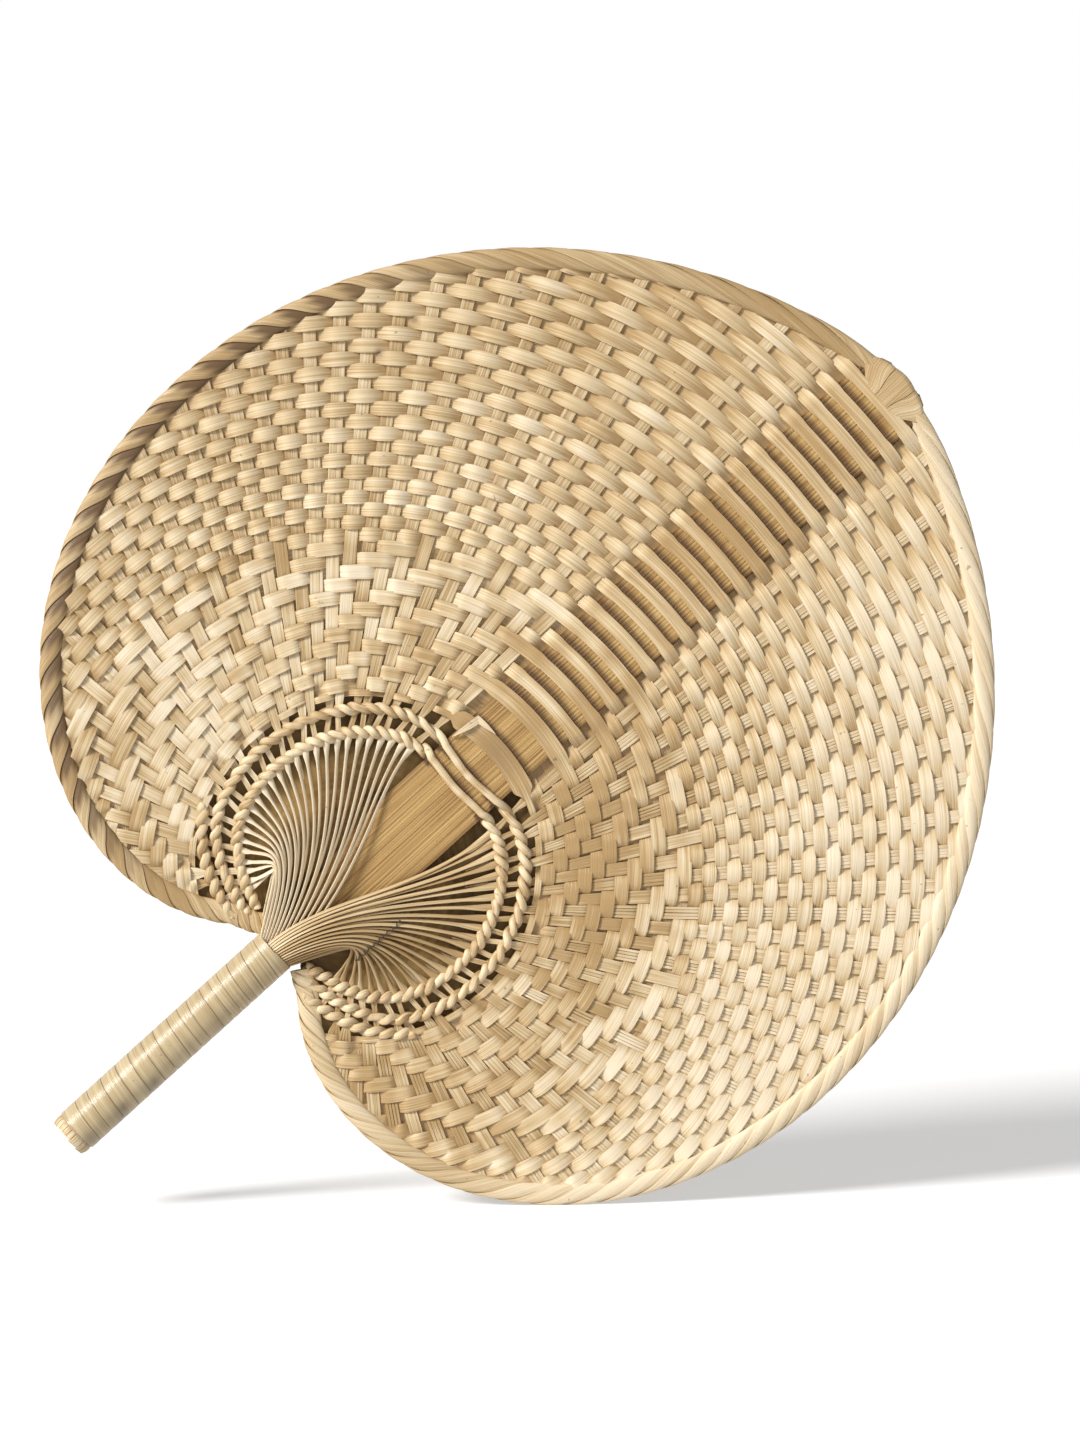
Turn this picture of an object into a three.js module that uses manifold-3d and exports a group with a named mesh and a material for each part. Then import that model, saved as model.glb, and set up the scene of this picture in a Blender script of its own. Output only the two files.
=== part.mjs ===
// A heart-shaped hand fan, plaited from thin splints on a flat bamboo stave.
// Splint stakes fan out from the handle to the rim, splint rows circle the eye and weave through them,
// and two doubled strands ring the eye. Millimetres. In the fan's own frame +X runs up the stave from
// the middle of the grip, +Y is the left lobe and +Z is the front. The fan is then leaned in its pose.
import * as THREE from "three";
import { mergeVertices } from "three/addons/utils/BufferGeometryUtils.js";
import Module from "manifold-3d";

const wasm = await Module();
wasm.setup();

// Pose
const LEAN_DEG = 42;

// Handle
const GRIP_LENGTH = 94;
const GRIP_DIAMETER = 16;
const WRAP_TURNS = 17;
const WRAP_THICKNESS = 0.8;
const WRAP_GAP = 0.5;
const BUTT_PROUD = 4;
const CORE_FLUTES = 18;
const CORE_FLUTE_DEPTH = 0.4;

// Outline of the blade, as reaches from the centre of the eye
const NECK_TO_EYE = 44;
const TIP_REACH = 251;
const SIDE_REACH = 152;
const HEEL_REACH = 51;
const SIDE_DEG = 90;
const HEEL_DEG = 160;

// Stave
const STAVE_WIDTH = 28;
const STAVE_THICKNESS = 2.4;
const STAVE_END_CORNER = 7;
const STAVE_FLARE = 58;
const TANG_WIDTH = 8;

// Rings of the eye
const INNER_RING_RADIUS = 46.5;
const OUTER_RING_RADIUS = 54.6;
const RING_STRAND = 2.7;
const RING_DIP = 3.6;
const RING_DIP_DEG = 18;
const RING_TURN = 0.6;

// Splints
const SPLINT_THICKNESS = 0.4;
const STAKES_PER_SIDE = 39;
const STAKE_WIDTH = 4;
const STAKE_COVER = 0.6;
const FIRST_STAKE_FROM_STAVE = 5.5;
const LAST_STAKE_RING_DEG = 150;
const LAST_STAKE_RIM_DEG = 157;
const STAKE_CROWDING = 0.2;
const STAKE_CROWDING_AT = 0.37;
const SECTORS = ["tip", "flank", "heel"];
const WEFT_ROWS = 44;
const ROW_GAP = 0.5;
const TWILL_ROWS = 13;
const TWILL_STEP_DEG = 14;
const STAVE_ARC_BOW = 0.5;

// Slivers between the ring and the neck
const SLIVER_WIDTH = 1.8;
const SLIVER_NECK_RADIUS = 5.6;
const SLIVER_NECK_THICKNESS = 0.18;
const BACK_EVERY = 3;
const SLIVER_RISE = 1.6;
const SLIVER_TWIST = 1;

// Rim, tip and lining
const RIM_BAND = 7;
const RIM_THICKNESS = 2.6;
const RIM_SCALLOP = 1.1;
const RIM_VALLEY_THICKNESS = 1.9;
const RIM_SLANT = 0.3;
const RIM_FROM_STAVE = 3;
const TIP_FOLDS = 3;
const TIP_FOLD_THICKNESS = 0.8;
const TIP_ROUND = 2.6;
const LINING_THICKNESS = 0.4;
const LINING_STANDOFF = 0.6;
const LINING_INSET = 1.2;
const LINING_SHARE = 0.7;

// Fits
const CLEARANCE = 0.3;
const WEAVE_CLEARANCE = 0.15;

// Values that follow from the driving dimensions
const RAD = Math.PI / 180;
const NECK_X = GRIP_LENGTH / 2;
const EYE_X = NECK_X + NECK_TO_EYE;
const STAVE_HALF = STAVE_WIDTH / 2;
const STAVE_END = EYE_X + TIP_REACH - TIP_FOLD_THICKNESS - CLEARANCE - RIM_SCALLOP;
const HALF_THICKNESS = SPLINT_THICKNESS / 2;
const CORE_RADIUS = GRIP_DIAMETER / 2 - WRAP_THICKNESS - CLEARANCE;
const ROW_START = OUTER_RING_RADIUS + RING_STRAND / 2 + CLEARANCE;
const ROW_PITCH = (TIP_REACH - RIM_BAND - ROW_START) / WEFT_ROWS;
const ROW_WIDTH = ROW_PITCH - ROW_GAP;
const STAVE_LIFT = STAVE_THICKNESS / 2 + CLEARANCE + HALF_THICKNESS;
const FLAT_LIFT = SPLINT_THICKNESS + WEAVE_CLEARANCE;

const material = (color, roughness) => new THREE.MeshStandardMaterial({ color, roughness, metalness: 0 });
const splintPale = material(0xd8c39a, 0.6);
const splintTan = material(0xc9ad7c, 0.62);
const bamboo = material(0xb98a4e, 0.55);
const satinStrip = material(0xd9c08d, 0.42);
const mottledLeaf = material(0x7d6a45, 0.75);

const fan = new THREE.Group();

// Adds one piece to the fan.
function place(name, geometry, finish) {
  const mesh = new THREE.Mesh(geometry, finish);
  mesh.name = name;
  fan.add(mesh);
}

const mix = (a, b, t) => a + (b - a) * t;

// A point in the plane of the blade, by reach and angle about the eye; side is 1 left or -1 right.
function polar(reach, angle, side = 1) {
  return new THREE.Vector2(EYE_X + reach * Math.cos(angle), side * reach * Math.sin(angle));
}

// The rim's reach at an angle from the tip: the parabola through the tip, side and heel reaches.
function rimReach(angle) {
  const deg = angle / RAD;
  const tip = ((deg - SIDE_DEG) * (deg - HEEL_DEG)) / (SIDE_DEG * HEEL_DEG);
  const flank = (deg * (deg - HEEL_DEG)) / (SIDE_DEG * (SIDE_DEG - HEEL_DEG));
  const heel = (deg * (deg - SIDE_DEG)) / (HEEL_DEG * (HEEL_DEG - SIDE_DEG));
  return TIP_REACH * tip + SIDE_REACH * flank + HEEL_REACH * heel;
}

// A point on the rim of one side, moved in from the edge by a distance square to the rim.
function rimPoint(angle, inset, side) {
  const step = 0.001;
  const here = polar(rimReach(angle), angle);
  const along = polar(rimReach(angle + step), angle + step).sub(here).normalize();
  return new THREE.Vector2(here.x - along.y * inset, side * (here.y + along.x * inset));
}

// Closes a loft through rings of points into one solid surface that faces out. The second half of each
// ring goes back along the first, so its quads are split along the same way, and thin walls stay apart.
function loft(rings) {
  const sides = rings[0].length;
  const points = rings.flat();
  const faces = [];
  for (let i = 0; i + 1 < rings.length; i++)
    for (let s = 0; s < sides; s++) {
      const a = i * sides + s;
      const b = i * sides + ((s + 1) % sides);
      if (2 * s < sides) faces.push(a, b, b + sides, a, b + sides, a + sides);
      else faces.push(a, b, a + sides, b, b + sides, a + sides);
    }
  const last = (rings.length - 1) * sides;
  for (let s = 1; s + 1 < sides; s++) {
    faces.push(0, s + 1, s);
    faces.push(last, last + s, last + s + 1);
  }
  let volume = 0;
  for (let f = 0; f < faces.length; f += 3) {
    const [a, b, c] = [points[faces[f]], points[faces[f + 1]], points[faces[f + 2]]];
    volume += a.dot(b.clone().cross(c));
  }
  if (volume < 0) faces.reverse();
  const geometry = new THREE.BufferGeometry();
  geometry.setFromPoints(points);
  geometry.setIndex(faces);
  return geometry;
}

// The manifold-3d solid of a closed, indexed geometry, and a geometry back from a solid.
function solid(geometry) {
  const vertProperties = new Float32Array(geometry.getAttribute("position").array);
  const triVerts = new Uint32Array(geometry.index.array);
  return new wasm.Manifold(new wasm.Mesh({ numProp: 3, vertProperties, triVerts }));
}

function geometryOf(made) {
  const mesh = made.getMesh();
  const geometry = new THREE.BufferGeometry();
  geometry.setAttribute("position", new THREE.BufferAttribute(mesh.vertProperties, 3));
  geometry.setIndex(new THREE.BufferAttribute(mesh.triVerts, 1));
  return geometry;
}

// Handle core: the fluted bundle of sliver ends, with a slot for the tang.
function handleCore() {
  const outline = new THREE.Shape();
  const steps = CORE_FLUTES * 2;
  for (let i = 0; i < steps; i++) {
    const radius = CORE_RADIUS - (i % 2) * CORE_FLUTE_DEPTH;
    const angle = (i / steps) * 2 * Math.PI;
    const point = [radius * Math.cos(angle), radius * Math.sin(angle)];
    if (i === 0) outline.moveTo(...point);
    else outline.lineTo(...point);
  }
  outline.closePath();
  const halfSlot = TANG_WIDTH / 2 + CLEARANCE;
  const halfGap = STAVE_THICKNESS / 2 + CLEARANCE;
  const slot = new THREE.Path();
  slot.moveTo(-halfSlot, -halfGap);
  slot.lineTo(-halfSlot, halfGap);
  slot.lineTo(halfSlot, halfGap);
  slot.lineTo(halfSlot, -halfGap);
  slot.closePath();
  outline.holes.push(slot);
  const core = new THREE.ExtrudeGeometry(outline, { depth: GRIP_LENGTH, bevelEnabled: false });
  core.applyMatrix4(
    new THREE.Matrix4().makeBasis(
      new THREE.Vector3(0, 1, 0),
      new THREE.Vector3(0, 0, 1),
      new THREE.Vector3(1, 0, 0),
    ),
  );
  core.translate(-GRIP_LENGTH / 2, 0, 0);
  place("handle_core", core, splintTan);
}

// Handle wrap: one strip wound as a helix, each turn clear of the next.
function handleWrap() {
  const stepsPerTurn = 16;
  const start = -GRIP_LENGTH / 2 + BUTT_PROUD;
  const pitch = (NECK_X - start) / (WRAP_TURNS + 1);
  const half = (pitch - WRAP_GAP) / 2;
  const inner = CORE_RADIUS + CLEARANCE;
  const outer = inner + WRAP_THICKNESS;
  const rings = [];
  for (let i = 0; i <= WRAP_TURNS * stepsPerTurn; i++) {
    const turn = i / stepsPerTurn;
    const angle = turn * 2 * Math.PI;
    const middle = start + pitch * (turn + 0.5);
    const corner = (radius, along) =>
      new THREE.Vector3(middle + along, radius * Math.cos(angle), radius * Math.sin(angle));
    rings.push([corner(inner, -half), corner(outer, -half), corner(outer, half), corner(inner, half)]);
  }
  let leastGap = Infinity;
  for (let i = 0; i + stepsPerTurn < rings.length; i++)
    leastGap = Math.min(leastGap, rings[i][2].distanceTo(rings[i + stepsPerTurn][1]));
  console.log("handle_wrap: least gap between turns " + leastGap.toFixed(2) + " mm");
  place("handle_wrap", loft(rings), satinStrip);
}

// Stave: a flat slat with a tang in the handle, which flares from the neck and is wide to its rounded tip.
function stave() {
  const shoulder = NECK_X + STAVE_FLARE;
  const tang = TANG_WIDTH / 2;
  const corner = STAVE_END_CORNER;
  const outline = new THREE.Shape();
  outline.moveTo(-GRIP_LENGTH / 2 + CLEARANCE, -tang);
  outline.lineTo(NECK_X, -tang);
  outline.lineTo(shoulder, -STAVE_HALF);
  outline.lineTo(STAVE_END - corner, -STAVE_HALF);
  outline.quadraticCurveTo(STAVE_END, -STAVE_HALF, STAVE_END, -STAVE_HALF + corner * 2);
  outline.lineTo(STAVE_END, STAVE_HALF - corner * 2);
  outline.quadraticCurveTo(STAVE_END, STAVE_HALF, STAVE_END - corner, STAVE_HALF);
  outline.lineTo(shoulder, STAVE_HALF);
  outline.lineTo(NECK_X, tang);
  outline.lineTo(-GRIP_LENGTH / 2 + CLEARANCE, tang);
  outline.closePath();
  const slat = new THREE.ExtrudeGeometry(outline, {
    depth: STAVE_THICKNESS,
    bevelEnabled: false,
    curveSegments: 6,
  });
  slat.translate(0, 0, -STAVE_THICKNESS / 2);
  place("stave", slat, bamboo);
}

const FIRST_RING_ANGLE = Math.asin((STAVE_HALF + FIRST_STAKE_FROM_STAVE) / INNER_RING_RADIUS);
const RING_PITCH = (LAST_STAKE_RING_DEG * RAD - FIRST_RING_ANGLE) / (STAKES_PER_SIDE - 1);
const RIM_START = Math.asin((STAVE_HALF + RIM_FROM_STAVE) / TIP_REACH);

// The rim angle after a number of stakes from the stave. They stand closest part of the way to the heel.
function rimAngleAfter(count) {
  const share = count / STAKES_PER_SIDE;
  const wave = (at) => Math.sin(2 * Math.PI * (at - STAKE_CROWDING_AT)) / (2 * Math.PI);
  const crowded = share - STAKE_CROWDING * (wave(share) - wave(0));
  return mix(RIM_START, LAST_STAKE_RIM_DEG * RAD, crowded);
}

// The straight line of each stake in the blade's plane, from the inner ring to the middle of the rim.
const stakes = Array.from({ length: STAKES_PER_SIDE }, (_, j) => {
  const ringAngle = FIRST_RING_ANGLE + RING_PITCH * j;
  const rimAngle = rimAngleAfter(j + 0.5);
  return {
    ring: polar(INNER_RING_RADIUS, ringAngle),
    rim: rimPoint(rimAngle, RIM_BAND / 2, 1),
  };
});

// The angle about the eye at which a stake's line meets a circle, or null past its end.
function crossing(stake, reach) {
  const from = stake.ring.clone().sub(new THREE.Vector2(EYE_X, 0));
  const along = stake.rim.clone().sub(stake.ring);
  const a = along.lengthSq();
  const b = 2 * from.dot(along);
  const c = from.lengthSq() - reach * reach;
  const root = b * b - 4 * a * c;
  if (root < 0) return null;
  const t = (-b + Math.sqrt(root)) / (2 * a);
  if (t > 1) return null;
  const at = from.addScaledVector(along, t);
  return Math.atan2(at.y, at.x);
}

// A stake's width: its share of the pitch near the ring, then its full width.
const stakeWidthAt = (reach) => Math.min(STAKE_WIDTH, STAKE_COVER * RING_PITCH * reach);

// The angle at which a circle about the eye runs out under the rim band.
function runOut(reach) {
  let low = 0;
  let high = HEEL_DEG * RAD;
  const eye = new THREE.Vector2(EYE_X, 0);
  const bandEdge = (angle) => rimPoint(angle, RIM_BAND + CLEARANCE, 1).sub(eye);
  for (let i = 0; i < 40; i++) {
    const middle = (low + high) / 2;
    if (bandEdge(middle).length() > reach) low = middle;
    else high = middle;
  }
  return bandEdge(low).angle();
}

// One weft's stations on one side, from the stave out: angles at its inner edge, middle and outer edge,
// and how far it swings off the blade's plane to pass each stake with edge and middle both clear.
function weftStations(row, reach) {
  const front = row % 2 === 0 ? 1 : -1;
  const reaches = [reach - ROW_WIDTH / 2, reach, reach + ROW_WIDTH / 2];
  const besideStave = reaches.map((r) => Math.asin((STAVE_HALF + CLEARANCE) / r));
  const stations = [{ angles: besideStave, lift: front * STAVE_LIFT }];
  if (row < TWILL_ROWS) {
    const end = runOut(reaches[0]);
    const count = Math.ceil((end - besideStave[1]) / (TWILL_STEP_DEG * RAD));
    for (let i = 1; i <= count; i++) {
      const angle = mix(besideStave[1], end, i / count);
      stations.push({ angles: [angle, angle, angle], lift: front * FLAT_LIFT });
    }
    return stations;
  }
  const passed = [];
  for (const stake of stakes) {
    const angles = reaches.map((r) => crossing(stake, r));
    if (angles.includes(null)) break;
    passed.push(angles);
  }
  const last = passed.at(-1);
  const before = passed.at(-2) ?? besideStave;
  for (let extra = 1; last && extra <= 2; extra++)
    passed.push(last.map((angle, i) => angle + extra * (angle - before[i])));
  const edgeLift = HALF_THICKNESS + WEAVE_CLEARANCE;
  let sign = front;
  let lift = STAVE_LIFT;
  let from = besideStave[1];
  for (const angles of passed) {
    const share = stakeWidthAt(reach) / 2 / ((angles[1] - from) * reach);
    lift = Math.max(FLAT_LIFT, (lift + edgeLift) / (1 - share) - lift);
    sign = -sign;
    from = angles[1];
    stations.push({ angles, lift: sign * lift });
  }
  return stations;
}

// The field that the rows fill: the blade inside the rim band, as a thick plate to cut them with.
function weaveField() {
  const outline = new THREE.Shape();
  const steps = 60;
  for (let i = -steps; i <= steps; i++) {
    const angle = (Math.abs(i) / steps) * HEEL_DEG * RAD;
    const point = rimPoint(angle, RIM_BAND + CLEARANCE, i < 0 ? -1 : 1);
    if (i === -steps) outline.moveTo(point.x, point.y);
    else outline.lineTo(point.x, point.y);
  }
  outline.closePath();
  const depth = 4 * STAVE_LIFT;
  const plate = new THREE.ExtrudeGeometry(outline, { depth, bevelEnabled: false });
  plate.translate(0, 0, -depth / 2);
  plate.deleteAttribute("normal");
  plate.deleteAttribute("uv");
  return mergeVertices(plate);
}

// Wefts: crowned splint rows about the eye, over and under the stave and the stakes, cut at the rim.
function wefts() {
  const field = solid(weaveField());
  for (let row = 0; row < WEFT_ROWS; row++) {
    const reach = ROW_START + ROW_PITCH * (row + 0.5);
    const front = row % 2 === 0 ? 1 : -1;
    const section = ({ angles, lift }, side) => {
      const [inner, middle, outer] = [-1, 0, 1].map((edge, i) =>
        polar(reach + (edge * ROW_WIDTH) / 2, angles[i], side),
      );
      const back = lift - HALF_THICKNESS;
      return [
        new THREE.Vector3(inner.x, inner.y, back),
        new THREE.Vector3(outer.x, outer.y, back),
        new THREE.Vector3(middle.x, middle.y, lift + HALF_THICKNESS),
      ];
    };
    const half = weftStations(row, reach);
    const right = half.map((station) => section(station, -1)).reverse();
    const bow = section({ angles: [0, 0, 0], lift: front * (STAVE_LIFT + STAVE_ARC_BOW) }, 1);
    const left = half.map((station) => section(station, 1));
    const strip = solid(loft([...right, bow, ...left])).intersect(field);
    const name = "weft_" + String(row + 1).padStart(2, "0");
    place(name, geometryOf(strip), row % 2 ? splintTan : splintPale);
  }
}

// A stake from the rim to the ring and on as its sliver to the neck, where it stands on edge.
function stakeLoft(j, side) {
  const stake = stakes[j];
  const toBack = j % BACK_EVERY === 1;
  const share = (j + 0.5) / STAKES_PER_SIDE;
  const neckAngle = (1 - share) * (Math.PI / 2) * (toBack ? -1 : 1);
  const neck = new THREE.Vector3(
    NECK_X + CLEARANCE,
    SLIVER_NECK_RADIUS * Math.cos(neckAngle),
    SLIVER_NECK_RADIUS * Math.sin(neckAngle),
  );
  const along = stake.ring.clone().sub(stake.rim).normalize();
  const across = new THREE.Vector3(-along.y, along.x, 0);
  const ring = new THREE.Vector3(stake.ring.x, stake.ring.y, 0);
  const rim = new THREE.Vector3(stake.rim.x, stake.rim.y, 0);
  const fullWidthReach = STAKE_WIDTH / (STAKE_COVER * RING_PITCH);
  const rings = [];
  const diamond = (at, wide, width, thin, thickness) => {
    const corner = (w, t) =>
      at.clone().addScaledVector(wide, (w * width) / 2).addScaledVector(thin, (t * thickness) / 2);
    const points = [corner(-1, 0), corner(0, 1), corner(1, 0), corner(0, -1)];
    for (const point of points) point.y *= side;
    rings.push(points);
  };
  const front = new THREE.Vector3(0, 0, 1);
  const flat = (at) => {
    const reach = Math.hypot(at.x - EYE_X, at.y);
    diamond(at, across, stakeWidthAt(reach), front, SPLINT_THICKNESS);
  };
  flat(rim);
  const span = rim.distanceTo(ring);
  const taper = (fullWidthReach - INNER_RING_RADIUS) / span;
  if (taper < 1) flat(ring.clone().lerp(rim, taper));
  flat(ring);
  const radial = new THREE.Vector3(0, Math.cos(neckAngle), Math.sin(neckAngle));
  const sliverSteps = 4;
  for (let i = 1; i <= sliverSteps; i++) {
    const t = i / sliverSteps;
    const at = ring.clone().lerp(neck, t);
    at.z = neck.z * (1 - Math.pow(1 - t, SLIVER_RISE));
    const wide = across.clone().lerp(radial, Math.pow(t, SLIVER_TWIST)).normalize();
    const run = neck.clone().sub(ring).normalize();
    const thin = new THREE.Vector3().crossVectors(run, wide).normalize();
    diamond(at, wide, SLIVER_WIDTH, thin, mix(SPLINT_THICKNESS, SLIVER_NECK_THICKNESS, t));
  }
  return loft(rings);
}

// The rim over a run of stakes: their turned ends as one rope of slanting folds.
function rimLoft(first, last, side) {
  const count = (last - first + 1) * 2;
  const rings = [];
  for (let i = 0; i <= count; i++) {
    const at = rimAngleAfter(first + i / 2);
    const trim = CLEARANCE / 2 / rimReach(at);
    const angle = at + (i === 0 ? trim : i === count ? -trim : 0);
    const crest = i % 2;
    const inside = i > 0 && i < count;
    const pitch = rimAngleAfter(first + (i + 1) / 2) - rimAngleAfter(first + (i - 1) / 2);
    const shift = inside ? RIM_SLANT * pitch : 0;
    const high = (crest ? RIM_THICKNESS : RIM_VALLEY_THICKNESS) / 2;
    const edge = rimPoint(angle, crest ? 0 : RIM_SCALLOP, side);
    const inner = rimPoint(angle, RIM_BAND, side);
    const front = rimPoint(angle + shift, RIM_BAND / 2, side);
    const back = rimPoint(angle - shift, RIM_BAND / 2, side);
    rings.push([
      new THREE.Vector3(inner.x, inner.y, 0),
      new THREE.Vector3(front.x, front.y, high),
      new THREE.Vector3(edge.x, edge.y, 0),
      new THREE.Vector3(back.x, back.y, -high),
    ]);
  }
  return loft(rings);
}

// Stakes: each sector's splints, joined where their ends fold into the rim.
function stakeSectors() {
  const perSector = STAKES_PER_SIDE / SECTORS.length;
  for (const [sideName, side] of [["left", 1], ["right", -1]])
    SECTORS.forEach((sector, s) => {
      const first = Math.round(s * perSector);
      const last = Math.round((s + 1) * perSector) - 1;
      let made = solid(rimLoft(first, last, side));
      for (let j = first; j <= last; j++) made = made.add(solid(stakeLoft(j, side)));
      place(sideName + "_stakes_" + sector, geometryOf(made), splintPale);
    });
}

// A ring's reach at an angle from the tip: round, but drawn in to cross the stave nearly straight.
const ringReach = (radius, angle) =>
  radius - RING_DIP * Math.exp(-((angle / RAD / RING_DIP_DEG) ** 2));

// A ring of the eye: one strand doubled round the stakes, in front and behind, and open at the handle.
// It turns back round the last stake that it reaches before the rim.
function eyeRing(name, radius) {
  const half = RING_STRAND / 2;
  const lift = HALF_THICKNESS + WEAVE_CLEARANCE + half;
  const staveLift = STAVE_THICKNESS / 2 + CLEARANCE + half;
  const pastStake = stakeWidthAt(radius) / 2 + WEAVE_CLEARANCE;
  const room = runOut(radius + half) - (pastStake + RING_TURN) / radius;
  const held = stakes.map((stake) => crossing(stake, radius)).filter((at) => at !== null && at < room);
  const end = held[held.length - 1] + pastStake / radius;
  const besideStave = Math.asin((STAVE_HALF + half) / (radius - RING_DIP));
  const steps = 15;
  const side = [besideStave];
  for (let i = 1; i <= steps; i++) side.push(mix(besideStave, end, i / steps));
  const angles = [...side.map((angle) => -angle).reverse(), 0, ...side];
  const section = (angle, height, turn, thickness) => {
    const reach = ringReach(radius, angle);
    const middle = polar(reach, angle);
    const out = new THREE.Vector3(Math.cos(angle), Math.sin(angle), 0);
    const along = new THREE.Vector3(-Math.sin(angle), Math.cos(angle), 0);
    const up = new THREE.Vector3(0, 0, Math.cos(turn)).addScaledVector(along, Math.sin(turn));
    return [0, 1, 2, 3].map((k) =>
      new THREE.Vector3(middle.x, middle.y, height)
        .addScaledVector(out, (thickness / 2) * Math.cos((k * Math.PI) / 2))
        .addScaledVector(up, (thickness / 2) * Math.sin((k * Math.PI) / 2)),
    );
  };
  const heightAt = (angle) => (Math.abs(angle) <= besideStave ? staveLift : lift);
  const front = angles.map((angle) => section(angle, heightAt(angle), 0, RING_STRAND));
  const turn = section(end + RING_TURN / 2 / radius, 0, Math.PI / 2, RING_TURN);
  const back = angles.map((angle) => section(angle, -heightAt(angle), Math.PI, RING_STRAND)).reverse();
  place(name, loft([...front, turn, ...back]), splintTan);
}

// Eye lining: a thin leaf behind the slivers, from inside the ring in towards the back of the neck.
function eyeLining() {
  const columns = 16;
  const rows = 3;
  const neckRadius = SLIVER_NECK_RADIUS + SLIVER_WIDTH / 2 + CLEARANCE;
  const edgeHeight = STAVE_THICKNESS / 2 + CLEARANCE;
  const rings = [];
  for (let c = 0; c <= columns; c++) {
    const share = (c / columns) * 2 - 1;
    const angle = share * LAST_STAKE_RING_DEG * RAD;
    const neckAngle = (1 - Math.abs(share)) * (Math.PI / 2);
    const edge = ringReach(INNER_RING_RADIUS, angle) - RING_STRAND / 2 - LINING_INSET;
    const outer = polar(edge, angle);
    const near = [];
    const far = [];
    for (let r = 0; r <= rows; r++) {
      const t = (r / rows) * LINING_SHARE;
      const rise = 1 - Math.pow(1 - t, SLIVER_RISE);
      const x = mix(outer.x, NECK_X + CLEARANCE, t);
      const y = mix(outer.y, Math.sign(share) * neckRadius * Math.cos(neckAngle), t);
      const middle = mix(edgeHeight, neckRadius * Math.sin(neckAngle), rise);
      const z = -middle - SLIVER_WIDTH / 2 - LINING_STANDOFF;
      near.push(new THREE.Vector3(x, y, z));
      far.push(new THREE.Vector3(x, y, z - LINING_THICKNESS));
    }
    rings.push([...near, ...far.reverse()]);
  }
  place("eye_lining", loft(rings), mottledLeaf);
}

// Tip folds: splints bent over the end of the stave, side by side, shorter towards its corners.
function tipFolds() {
  const width = (STAVE_WIDTH + RIM_FROM_STAVE) / TIP_FOLDS;
  const leg = STAVE_END - (EYE_X + TIP_REACH - RIM_BAND);
  const inner = STAVE_THICKNESS / 2 + CLEARANCE;
  const outer = inner + TIP_FOLD_THICKNESS;
  const start = STAVE_END + CLEARANCE - leg;
  for (let i = 0; i < TIP_FOLDS; i++) {
    const y = (i - (TIP_FOLDS - 1) / 2) * width;
    const end = TIP_FOLD_THICKNESS;
    const profile = new THREE.Shape();
    profile.moveTo(-leg, outer);
    profile.lineTo(-end, outer);
    profile.quadraticCurveTo(end, outer, end, 0);
    profile.quadraticCurveTo(end, -outer, -end, -outer);
    profile.lineTo(-leg, -outer);
    profile.lineTo(-leg, -inner);
    profile.lineTo(0, -inner);
    profile.lineTo(0, inner);
    profile.lineTo(-leg, inner);
    profile.closePath();
    const fold = new THREE.ExtrudeGeometry(profile, {
      depth: width - CLEARANCE,
      steps: 3,
      bevelEnabled: false,
      curveSegments: 3,
    });
    fold.rotateX(Math.PI / 2);
    fold.translate(STAVE_END + CLEARANCE, y + (width - CLEARANCE) / 2, 0);
    const points = fold.getAttribute("position");
    for (let k = 0; k < points.count; k++) {
      const offAxis = points.getY(k) / ((TIP_FOLDS * width) / 2);
      const shorter = (TIP_ROUND * offAxis * offAxis) / (leg + end);
      points.setX(k, mix(points.getX(k), start, shorter));
    }
    place("tip_fold_" + (i + 1), fold, splintPale);
  }
}

handleCore();
handleWrap();
stave();
stakeSectors();
wefts();
eyeRing("inner_ring", INNER_RING_RADIUS);
eyeRing("outer_ring", OUTER_RING_RADIUS);
eyeLining();
tipFolds();

// The pose: the blade stands upright with its front towards -Y, leaning along its axis.
const lean = LEAN_DEG * RAD;
fan.setRotationFromMatrix(
  new THREE.Matrix4().makeBasis(
    new THREE.Vector3(Math.cos(lean), 0, Math.sin(lean)),
    new THREE.Vector3(-Math.sin(lean), 0, Math.cos(lean)),
    new THREE.Vector3(0, -1, 0),
  ),
);

export default fan;
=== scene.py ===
"""Looks of a heart-shaped hand fan, plaited from splints round a bamboo stave.

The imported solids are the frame, and each is dressed here by a finer piece in the same place. Rows pass
over and under the stakes, stakes turn in along the rim and gather as slivers at the neck, two twined
rings hold the eye, and a flat strip winds the handle. Lengths are millimetres in the fan's own plane:
x runs up the stave from the middle of the grip, y to the left lobe and z to the front.
"""

from __future__ import annotations

import logging
import math
from collections.abc import Callable
from dataclasses import dataclass, field
from enum import Enum

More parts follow.
